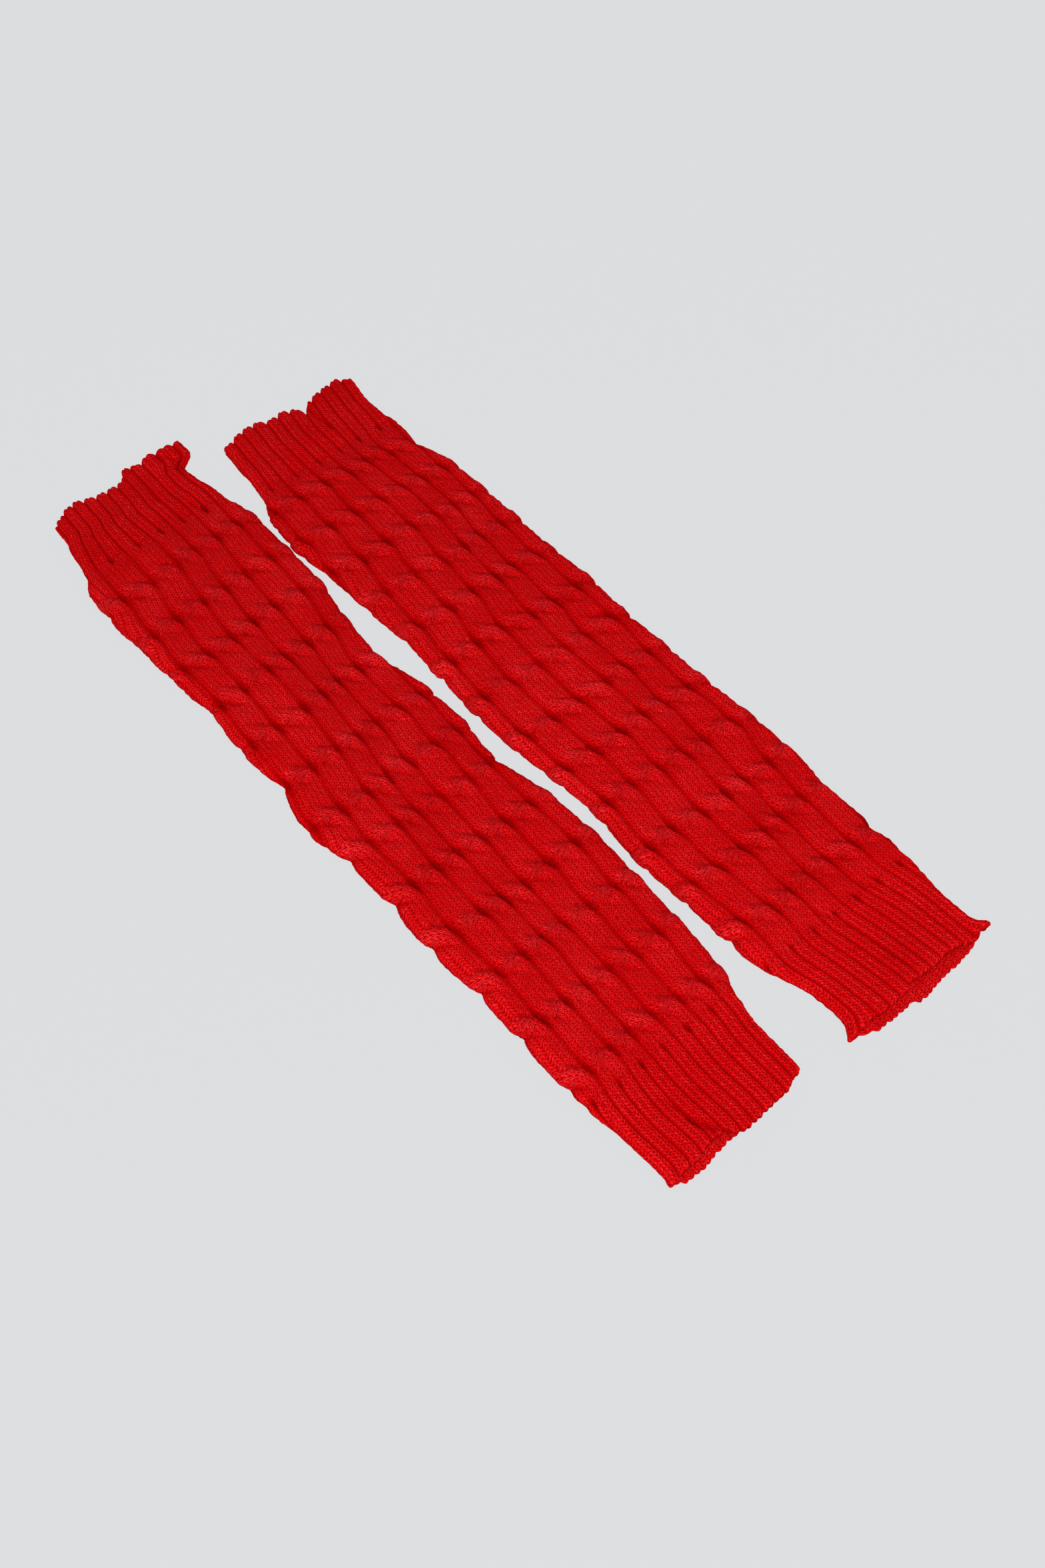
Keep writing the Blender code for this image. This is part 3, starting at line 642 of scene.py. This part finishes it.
def cable_field(tube, cable, at):
    """How high the rope cables stand, 1 on a strand's crest, and the stitch counts there: columns,
    and how many rows a leaning strand's stitches are ahead."""
    sideways, past, loose, _ = nearest_crossing(tube, cable, at)
    reach = OVER_HALF_LENGTH * loose
    turn, lean = half_turn(past / reach)
    over_lean = STRAND_SWING * lean / reach
    over_place = (sideways - STRAND_SWING * turn) / np.hypot(1, over_lean)
    turn, lean = half_turn(past / UNDER_HALF_LENGTH)
    under_lean = -STRAND_SWING * lean / UNDER_HALF_LENGTH
    under_place = (sideways + STRAND_SWING * turn) / np.hypot(1, under_lean)
    half_width = PILLOW_HALF_WIDTH - WAIST * hill(past, 0, WAIST_LENGTH)
    edge = np.abs(sideways) / half_width
    pillow = np.clip(1 - edge**PILLOW_ROUNDNESS, 0, None) ** PILLOW_STEEPNESS
    raised = OVER_RISE * loose * hill(past, 0, OVER_REACH) * hill(over_place, 0, OVER_HALF_WIDTH)
    below, past_lower = strand_edge(sideways, past, -1, LOWER_SHADOW, loose)
    above, past_upper = strand_edge(sideways, past, 1, UPPER_SHADOW, loose)
    crest = pillow * (1 + raised - below - above)
    crest += np.clip(1 - crest, 0, 1) * closed_share(tube, cable, at, past)
    on_top = (past_lower < 0) & (past_upper < 0)
    place = np.where(on_top, over_place, under_place)
    lean = np.where(on_top, over_lean, under_lean)
    ahead = lean * place / np.hypot(1, lean)
    return crest, place / STITCH_WIDTH + 0.5, ahead / ROW_HEIGHT


def hole_field(tube, cable, at):
    """Small holes in the grooves: on both sides of each crossing, and where ribs meet in a cable."""
    sideways, past, _, openness = nearest_crossing(tube, cable, at)
    from_groove = CABLE_WIDTH / 2 - np.abs(sideways)
    middle = np.where(sideways > 0, -HOLE_LEAN, HOLE_LEAN)
    beside = hill(from_groove, 0, HOLE_HALF_WIDTH) * hill(past, middle, HOLE_HALF_LENGTH)
    eyelet = hill(sideways, 0, EYELET_HALF_WIDTH) * hill(tube.from_cuff(at), 0, EYELET_HALF_LENGTH)
    uneven = EYELET_MEAN + EYELET_SPREAD * tube.rib_ends[np.floor(cable).astype(int) % CABLES_AROUND]
    return HOLE_DEPTH * beside * openness + EYELET_DEPTH * uneven * eyelet


def rib_field(cable):
    """How high the ribs stand, each two columns of stitches wide, and the count of columns there."""
    across = cable * RIBS_A_CABLE % 1.0
    crest = 1 - np.abs(2 * across - 1) ** RIB_ROUNDNESS
    crest -= RIB_SPLIT * hill(across, 0.5, RIB_SPLIT_HALF_WIDTH)
    rib_width = CABLE_WIDTH / RIBS_A_CABLE
    return crest, (across - 0.5) * rib_width / RIB_STITCH_WIDTH


def crease_depth(tube, x, at, in_front):
    """How deep the creases are at one place."""
    depth = np.zeros(np.broadcast(x, at).shape)
    for row in tube.facts["creases"]:
        crease = dict(zip(CREASE_COLUMNS, row))
        dx, dy = crease["x1"] - crease["x0"], crease["at1"] - crease["at0"]
        length = math.hypot(dx, dy)
        share = ((x - crease["x0"]) * dx + (at - crease["at0"]) * dy) / length**2
        aside = ((x - crease["x0"]) * dy - (at - crease["at0"]) * dx) / length
        aside = aside + CREASE_BEND * crease["half_width"] * np.sin(share * CREASE_BEND_TURN)
        fading = ease(share * CREASE_FADE + CREASE_END) * ease((1 - share) * CREASE_FADE + CREASE_END)
        here = crease["depth"] * fading * hill(aside, 0, crease["half_width"])
        depth += np.where(in_front == (crease["layer"] == "front"), here, 0)
    return depth


def knit(tube, cable, at):
    """Relief of the outside in millimetres, the same with 1 for a crest, and the stitch counts."""
    inside = tube.from_cuff(at)
    strayed = meander(tube, cable, at)
    growth = mix(CABLE_START, 1.0, ease(inside / CABLE_GROWTH))
    cable_crest, cable_columns, ahead = cable_field(tube, strayed, at)
    rib_crest, rib_columns = rib_field(cable)
    share = ease((inside + 1) / (RIB_FADE + 1))
    hole = hole_field(tube, strayed, at)
    relief = mix(RIB_RELIEF * rib_crest, CABLE_RELIEF * growth * cable_crest, share) - hole
    crest = mix(rib_crest, cable_crest, share) - hole / HOLE_TO_CREST
    in_leg = inside > 0
    return relief, crest, np.where(in_leg, cable_columns, rib_columns), np.where(in_leg, ahead, 0.0)


def outside(tube, cable, at, lift, rounding):
    """Points of the outside. Relief stands out on the front and the folds, and underneath the
    grooves go up into the wall, so that the strands' tops rest on the surface."""
    relief, crest, columns, ahead = knit(tube, cable, at)
    x, out_x, out_z = tube.fold(tube.distance(cable, at), at)
    crease = crease_depth(tube, x, at, out_z > 0)
    seed = tube.facts["seed"]
    outward = np.clip(1 + out_z / RELIEF_FADE, 0, 1)
    bumps = EDGE_BUMPS * wobble(x + EDGE_BUMP_TURN * out_z, at, EDGE_BUMP_LENGTH, seed + 5)
    swell = SWELL * wobble(x, at, SWELL_LENGTH, seed + 6) * np.clip(out_z, 0, 1)
    _, past, _, _ = nearest_crossing(tube, cable, at)
    in_leg = ease(tube.from_cuff(at) / CABLE_GROWTH)
    lumps = np.where(out_x < 0, *tube.facts["side_lumps"]) * (1 - np.exp(-np.abs(past) / NOTCH_LENGTH))
    lumps = lumps * in_leg * out_x**2
    reach = EDGE_RADIUS + (relief + bumps + swell + lumps - crease) * outward - rounding
    sunk = np.clip(CABLE_RELIEF - relief, 0, CABLE_RELIEF) * UNDERSIDE_RELIEF + crease
    under = (1 - outward) * sunk
    raised = lift * np.clip((1 + out_z) / 2, 0, 1) * tube.bulge(x, at)
    z = np.maximum(0, EDGE_RADIUS + out_z * reach + under) + raised
    # painted shading: above 0 in grooves, holes and creases, which get painted shade, below 0 on the
    # over-strand, which gets painted light
    hollow = np.clip(1 - crest + CREASE_SHADE * crease, -1, 1)
    return tube.to_model(x + out_x * reach, at, z), columns, ahead, hollow


def inside_wall(tube, cable, at, lift, ribbed):
    """Points of the plain inner wall between the two layers."""
    x, out_x, out_z = tube.fold(tube.distance(cable, at), at)
    raised = lift * np.clip((1 + out_z) / 2, 0, 1) * tube.bulge(x, at)
    crest, columns = rib_field(cable)
    rib = ribbed * crest * INSIDE_RIB_RELIEF
    z = EDGE_RADIUS + out_z * (EDGE_RADIUS - WALL - rib) + raised
    return tube.to_model(x + out_x * (EDGE_RADIUS - SIDE_WALL), at, z), columns


def hem_at(tube, upper, cable):
    """How far down the hem lies at each cable count, with its scallops and beads."""
    facts = tube.facts
    nominal = 0.0 if upper else tube.length
    at = np.full(cable.shape, nominal)
    left, right = tube.flat_top(at)
    around = tube.around(at)
    flat = right - left
    arc = math.pi * EDGE_RADIUS
    distance = tube.distance(cable, at) % around
    fronted = np.where(distance > around - arc / 2, distance - around, distance)
    is_front = fronted <= flat + arc / 2
    across = np.where(is_front, fronted / flat, 1 - (distance - flat - arc) / flat)
    across = np.clip(across, 0, 1)
    rows = np.array(facts["upper_hem"] if upper else facts["lower_hem"])
    front = np.interp(across, rows[:, 0], rows[:, 1])
    back = np.interp(across, rows[:, 0], rows[:, 2])
    across_rib = cable * RIBS_A_CABLE % 1.0
    rib = np.floor(cable * RIBS_A_CABLE).astype(int) % len(tube.rib_ends)
    end = tube.rib_ends[rib]
    crest = 1 - np.abs(2 * across_rib - 1) ** SCALLOP_ROUNDNESS
    beads = np.abs(np.sin(2 * math.pi * (across_rib + BEAD_SHIFT * end)))
    upper_size, lower_size = facts["scallops"]
    if upper:
        scallop = upper_size * (1 + UPPER_UNEVENNESS * end) * (crest - 0.5) + UPPER_BEADS * beads
    else:
        scallop = lower_size * (crest - 0.5) * (1 + end) / 2 + LOWER_BEADS * beads
        scallop += LOWER_UNEVENNESS * end
    return nominal + np.where(is_front, front, back) + (-scallop if upper else scallop)


def joined_shell(points, columns, at, ahead, hollow, inner, inner_columns, inner_at):
    """The outside and the inside of one shell as a single grid, with what its stitch map and its painted
    shading need.
    """
    return {
        "points": np.concatenate([points, inner]),
        "columns": np.concatenate([columns, inner_columns]),
        "rows": np.concatenate([at, inner_at]) / ROW_HEIGHT,
        "ahead": np.concatenate([ahead, np.zeros(inner_at.shape)]),
        "hollow": np.concatenate([hollow, np.full(inner_at.shape, INSIDE_PAINTED_SHADING)]),
        "outer_rings": len(points),
    }


def leg_shell(tube):
    """Grid of points of a cabled leg: the outside from cuff to cuff, then the inside back."""
    cable = ring_cables(LEG_STEPS)
    start, end = CUFF_LENGTH, tube.length - CUFF_LENGTH
    at = np.broadcast_to(np.linspace(start, end, LEG_RINGS)[:, None], (LEG_RINGS, cable.shape[1]))
    cables = np.broadcast_to(cable, at.shape)
    points, columns, ahead, hollow = outside(tube, cables, at, 0.0, 0.0)
    inner_at = np.linspace(end, start, LEG_INNER_RINGS)[:, None]
    inner_at = np.broadcast_to(inner_at, (LEG_INNER_RINGS, cable.shape[1]))
    inner_cables = np.broadcast_to(cable, inner_at.shape)
    inner, inner_columns = inside_wall(tube, inner_cables, inner_at, 0.0, 0.0)
    return joined_shell(points, columns, at, ahead, hollow, inner, inner_columns, inner_at)


def cuff_shell(tube, upper):
    """Grid of points of a ribbed cuff: the outside from the leg to the hem, then the inside back."""
    facts = tube.facts
    cable = ring_cables(CUFF_STEPS)
    seam = CUFF_LENGTH if upper else tube.length - CUFF_LENGTH
    hem = hem_at(tube, upper, cable)
    mouth = facts["upper_mouth"] if upper else facts["lower_mouth"]
    even = np.linspace(0, CUFF_EVEN_TO, CUFF_RINGS - len(CUFF_NEAR_HEM))
    shares = np.concatenate([even, CUFF_NEAR_HEM])[:, None]
    at = mix(seam, hem, shares)
    cables = np.broadcast_to(cable, at.shape)
    lift = mouth * (1 - ease((1 - shares) / LIFT_REACH))
    from_hem = np.clip(np.abs(at - hem) / HEM_ROUNDING, 0, 1)
    rounding = HEM_ROUNDING * (1 - np.sqrt(1 - (1 - from_hem) ** 2))
    points, columns, ahead, hollow = outside(tube, cables, at, lift, rounding)
    back_shares = np.array(CUFF_INNER_SHARES)[:, None]
    inner_at = mix(seam, hem, back_shares)
    inner_cables = np.broadcast_to(cable, inner_at.shape)
    inner_lift = mouth * (1 - ease((1 - back_shares) / LIFT_REACH))
    ribbed = ease(back_shares * INSIDE_RIB_STEEPNESS - INSIDE_RIB_START)
    inner, inner_columns = inside_wall(tube, inner_cables, inner_at, inner_lift, ribbed)
    return joined_shell(points, columns, at, ahead, hollow, inner, inner_columns, inner_at)


def without_jumps(values):
    """One row for each face: takes whole steps off its corners so that they follow on its first one."""
    return values - np.round(values - values[:, :1])


def stitch_map(shell, quads):
    """The faces' places in the stitch pattern, which repeats at each whole column and row."""
    columns, rows, ahead = (shell[name].reshape(-1)[quads] for name in ("columns", "rows", "ahead"))
    return np.stack([without_jumps(columns), rows + without_jumps(ahead)], axis=-1)


def make_piece(name, shell, upside_down, material):
    """One closed wall from a grid of points that meets itself both ways, with its stitch map."""
    points = shell["points"]
    rings, columns = points.shape[:2]
    row = np.arange(rings)[:, None]
    column = np.arange(columns)[None, :]
    next_row, next_column = (row + 1) % rings, (column + 1) % columns
    corners = [
        row * columns + column,
        row * columns + next_column,
        next_row * columns + next_column,
        next_row * columns + column,
    ]
    if upside_down:
        corners = corners[::-1]
    quads = np.stack(np.broadcast_arrays(*corners), axis=-1).reshape(-1, 4)
    mesh = bpy.data.meshes.new(name)
    mesh.vertices.add(rings * columns)
    mesh.vertices.foreach_set("co", points.reshape(-1).astype(np.float32))
    mesh.loops.add(quads.size)
    mesh.loops.foreach_set("vertex_index", quads.reshape(-1).astype(np.int32))
    mesh.polygons.add(len(quads))
    mesh.polygons.foreach_set("loop_start", np.arange(0, quads.size, 4, dtype=np.int32))
    mesh.update(calc_edges=True)
    stitches = mesh.uv_layers.new(name="stitches")
    stitches.data.foreach_set("uv", stitch_map(shell, quads).reshape(-1).astype(np.float32))
    depth = mesh.attributes.new("hollow", "FLOAT", "POINT")
    depth.data.foreach_set("value", shell["hollow"].reshape(-1).astype(np.float32))
    mesh.polygons.foreach_set("use_smooth", np.ones(len(quads), bool))
    sharpen_rims(mesh, columns, shell["outer_rings"])
    mesh.materials.append(material)
    mesh.validate()
    piece = bpy.data.objects.new(name, mesh)
    bpy.context.scene.collection.objects.link(piece)
    return piece


def sharpen_rims(mesh, columns, outer_rings):
    """Marks the two loops where the outside meets a rim as sharp, so that shading doesn't bend there."""
    ends = np.zeros(len(mesh.edges) * 2, np.int32)
    mesh.edges.foreach_get("vertices", ends)
    ring_of = ends.reshape(-1, 2) // columns
    same = ring_of[:, 0] == ring_of[:, 1]
    at_rim = np.isin(ring_of[:, 0], (0, outer_rings - 1))
    sharp = mesh.attributes.new("sharp_edge", "BOOLEAN", "EDGE")
    sharp.data.foreach_set("value", same & at_rim)


class Nodes:
    """Short calls for building a node tree."""

    def __init__(self, tree):
        self.tree = tree

    def add(self, kind, **settings):
        node = self.tree.nodes.new(kind)
        for name, value in settings.items():
            setattr(node, name, value)
        return node

    def put(self, socket, value):
        """Links another node's output, or sets a plain value."""
        if isinstance(value, bpy.types.NodeSocket):
            self.tree.links.new(value, socket)
        else:
            socket.default_value = value

    def math(self, operation, *values, clamp=False):
        node = self.add("ShaderNodeMath", operation=operation, use_clamp=clamp)
        for socket, value in zip(node.inputs, values):
            self.put(socket, value)
        return node.outputs[0]

    def sum_of(self, total, *terms):
        """A start value and more terms, each of them a value and its share."""
        for value, share in terms:
            total = self.math("ADD", total, self.math("MULTIPLY", value, share))
        return total

    def around_zero(self, noise):
        """A noise from 0 to 1 as unevenness to both sides of 0."""
        return self.math("SUBTRACT", noise, 0.5)

    def hill(self, value, middle, width):
        """1 where the value is at the middle, and 0 from a width away."""
        offset = self.math("DIVIDE", self.math("SUBTRACT", value, middle), width)
        return self.math("SUBTRACT", 1.0, self.math("MULTIPLY", offset, offset), clamp=True)

    def vector(self, x, y, z):
        node = self.add("ShaderNodeCombineXYZ")
        for socket, value in zip(node.inputs, (x, y, z)):
            self.put(socket, value)
        return node.outputs[0]

    def shifted(self, vector, by):
        """A vector moved by the same amount on all three axes."""
        node = self.add("ShaderNodeVectorMath", operation="ADD")
        self.put(node.inputs[0], vector)
        node.inputs[1].default_value = (by, by, by)
        return node.outputs[0]

    def noise(self, vector, scale, detail=2.0, roughness=0.5):
        """Smooth noise between 0 and 1."""
        node = self.add("ShaderNodeTexNoise")
        self.put(node.inputs["Vector"], vector)
        node.inputs["Scale"].default_value = scale
        node.inputs["Detail"].default_value = detail
        node.inputs["Roughness"].default_value = roughness
        return node.outputs["Fac"]

    def blend_colours(self, share, first, second):
        node = self.add("ShaderNodeMix", data_type="RGBA")
        self.put(node.inputs["Factor"], share)
        self.put(node.inputs["A"], first)
        self.put(node.inputs["B"], second)
        return node.outputs["Result"]


def stitch_height(n, u, v):
    """How high the V-shaped stitches stand, and how many rows along its column a place lies."""
    side = n.math("ABSOLUTE", n.math("SUBTRACT", n.math("FRACT", u), 0.5))
    along = n.math("ADD", v, n.math("MULTIPLY", side, 2.0))
    offset = n.math("SUBTRACT", n.math("MULTIPLY", n.math("FRACT", along), 2.0), 1.0)
    loop = n.math("SUBTRACT", 1.0, n.math("MULTIPLY", offset, offset), clamp=True)
    between = n.math("MULTIPLY", n.hill(side, 0.5, COLUMN_GAP), COLUMN_GAP_DEPTH)
    centre = n.math("SUBTRACT", n.math("FRACT", n.math("ADD", v, 0.5)), 0.5)
    gap = n.math("MULTIPLY", n.hill(centre, 0.0, MIDDLE_GAP_LENGTH), MIDDLE_GAP_EXTRA)
    gap = n.math("MULTIPLY", n.math("ADD", gap, MIDDLE_GAP_DEPTH), n.hill(side, 0.0, MIDDLE_GAP))
    stitch = n.math("SUBTRACT", n.math("POWER", loop, LOOP_ROUNDNESS), between)
    return n.math("SUBTRACT", stitch, gap), along


def yarn_colour(n, lit, fuzz):
    """From dark to bright red, with painted highlights on the fuzz of the brightest yarn."""
    colour = n.blend_colours(lit, DARK_RED, BRIGHT_RED)
    # painted highlights, pale specks on the fuzz where the yarn is brightest
    fibre_highlights = n.math("POWER", n.math("MULTIPLY", lit, FIBRE_HIGHLIGHT_GAIN), FIBRE_HIGHLIGHT_POWER, clamp=True)
    thick = n.math("MULTIPLY", n.math("SUBTRACT", fuzz, FIBRE_HIGHLIGHT_START), FIBRE_HIGHLIGHT_STEEPNESS, clamp=True)
    return n.blend_colours(n.math("MULTIPLY", fibre_highlights, thick), colour, FIBRE_HIGHLIGHT_RED)


def yarn_material():
    """Soft red yarn: stitches from the stitch map, brushed fuzz with painted highlights, painted shade in the
    gaps, grooves and creases, painted light on the over-strands and a faint sheen.
    """
    material = bpy.data.materials.new("soft_red_yarn")
    material.use_nodes = True
    tree = material.node_tree
    n = Nodes(tree)
    surface = tree.nodes["Principled BSDF"]
    split = n.add("ShaderNodeSeparateXYZ")
    n.put(split.inputs[0], n.add("ShaderNodeUVMap", uv_map="stitches").outputs[0])
    place = n.add("ShaderNodeTexCoord").outputs["Object"]
    tug = n.around_zero(n.noise(place, TUG_SCALE))
    pull = n.around_zero(n.noise(n.shifted(place, PULL_SHIFT), PULL_SCALE))
    u = n.math("ADD", split.outputs[0], n.math("MULTIPLY", tug, TUG))
    v = n.math("ADD", split.outputs[1], n.math("MULTIPLY", pull, PULL))
    stitch, along = stitch_height(n, u, v)
    streak_u = n.math("MULTIPLY", u, STREAKS_A_COLUMN)
    streak_v = n.math("MULTIPLY", along, STREAKS_A_ROW)
    streaks = n.noise(n.vector(streak_u, streak_v, 0.0), STREAK_SCALE, FINE_DETAIL, FINE_ROUGHNESS)
    fuzz = n.noise(place, FUZZ_SCALE, FINE_DETAIL, FINE_ROUGHNESS)
    lumps = n.noise(place, LUMP_SCALE)
    bump = n.add("ShaderNodeBump")
    bump.inputs["Strength"].default_value = 1.0
    bump.inputs["Distance"].default_value = BUMP_DISTANCE
    height = n.sum_of(0.0, (stitch, STITCH_BUMP), (streaks, STREAK_BUMP), (fuzz, FUZZ_BUMP))
    n.put(bump.inputs["Height"], height)
    n.put(surface.inputs["Normal"], bump.outputs[0])
    # lightness: painted shade in the stitches' gaps, and the yarn's uneven tone from streaks, fuzz and lumps
    lit = n.sum_of(
        LIGHT,
        (stitch, STITCH_LIGHT),
        (n.around_zero(streaks), STREAK_LIGHT),
        (n.around_zero(fuzz), FUZZ_LIGHT),
        (n.around_zero(lumps), LUMP_LIGHT),
    )
    # the painted shading from the mesh
    hollow = n.add("ShaderNodeAttribute", attribute_name="hollow").outputs["Fac"]
    # painted shade, darkest at the bottom of grooves, holes and creases and inside the tube
    deep = n.math("POWER", n.math("MAXIMUM", hollow, 0.0), DEEP_POWER)
    # painted light on the over-strands
    painted_light = n.math("MAXIMUM", n.math("MULTIPLY", hollow, -1.0), 0.0)
    shade = n.sum_of(1.0, (deep, -DEEP_SHADE), (painted_light, PROUD_LIGHT))
    lit = n.math("MULTIPLY", lit, shade, clamp=True)
    n.put(surface.inputs["Base Color"], yarn_colour(n, lit, fuzz))
    n.put(surface.inputs["Roughness"], n.sum_of(ROUGHNESS, (fuzz, FUZZ_ROUGHNESS)))
    surface.inputs["Specular IOR Level"].default_value = 0.0
    surface.inputs["Sheen Weight"].default_value = SHEEN
    surface.inputs["Sheen Roughness"].default_value = SHEEN_ROUGHNESS
    surface.inputs["Sheen Tint"].default_value = SHEEN_TINT
    return material


def floor_material():
    """A plain pale board with a barely uneven tone."""
    material = bpy.data.materials.new("pale_board")
    material.use_nodes = True
    n = Nodes(material.node_tree)
    surface = material.node_tree.nodes["Principled BSDF"]
    place = n.add("ShaderNodeTexCoord").outputs["Object"]
    n.put(surface.inputs["Base Color"], n.blend_colours(n.noise(place, BOARD_TONE_SCALE), *BOARD_TONES))
    surface.inputs["Emission Color"].default_value = BOARD_GLOW
    surface.inputs["Emission Strength"].default_value = 1.0
    surface.inputs["Roughness"].default_value = BOARD_ROUGHNESS
    surface.inputs["Specular IOR Level"].default_value = BOARD_SPECULAR
    return material


def add_floor():
    mesh = bpy.data.meshes.new("floor")
    half = BOARD_HALF
    corners = [(-half, -half, 0), (half, -half, 0), (half, half, 0), (-half, half, 0)]
    mesh.from_pydata(corners, [], [(0, 1, 2, 3)])
    mesh.materials.append(floor_material())
    floor = bpy.data.objects.new("floor", mesh)
    floor.location.z = -BOARD_DROP
    bpy.context.scene.collection.objects.link(floor)


def add_camera():
    camera = bpy.data.objects.new("camera", bpy.data.cameras.new("camera"))
    camera.location = CAMERA_PLACE
    camera.rotation_euler = (math.radians(90 - CAMERA_PITCH), 0, math.radians(-CAMERA_HEADING))
    camera.data.lens = CAMERA_LENS
    camera.data.sensor_width = CAMERA_SENSOR
    camera.data.clip_start = CAMERA_CLIP
    bpy.context.scene.collection.objects.link(camera)
    bpy.context.scene.camera = camera


def add_light(name, place, size, power):
    """A round area light that faces the origin."""
    data = bpy.data.lights.new(name, "AREA")
    data.shape = "DISK"
    data.size = size
    data.energy = power
    lamp = bpy.data.objects.new(name, data)
    lamp.location = place
    lamp.rotation_euler = (-Vector(place)).to_track_quat("-Z", "Y").to_euler()
    bpy.context.scene.collection.objects.link(lamp)


def add_studio():
    """Soft light from all round, a little stronger from the near left side."""
    world = bpy.data.worlds.new("studio")
    world.use_nodes = True
    background = world.node_tree.nodes["Background"]
    background.inputs["Color"].default_value = SKY
    background.inputs["Strength"].default_value = SKY_STRENGTH
    scene = bpy.context.scene
    scene.world = world
    for name, (place, size, power) in LIGHTS.items():
        add_light(name, place, size, power)
    scene.view_settings.view_transform = "Standard"
    scene.view_settings.look = "None"


def add_leg_warmers():
    """Both leg warmers, three pieces each, in the place of the solids."""
    yarn = yarn_material()
    for side, facts in PAIR.items():
        tube = Tube(facts)
        shells = {
            "upper_cuff": (cuff_shell(tube, True), False),
            "cabled_leg": (leg_shell(tube), True),
            "lower_cuff": (cuff_shell(tube, False), True),
        }
        for part, (shell, upside_down) in shells.items():
            node = f"{side}_{part}"
            piece = make_piece(f"{node}_knit", shell, upside_down, yarn)
            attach(piece, "root")
            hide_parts(node)


add_camera()
add_floor()
add_studio()
add_leg_warmers()
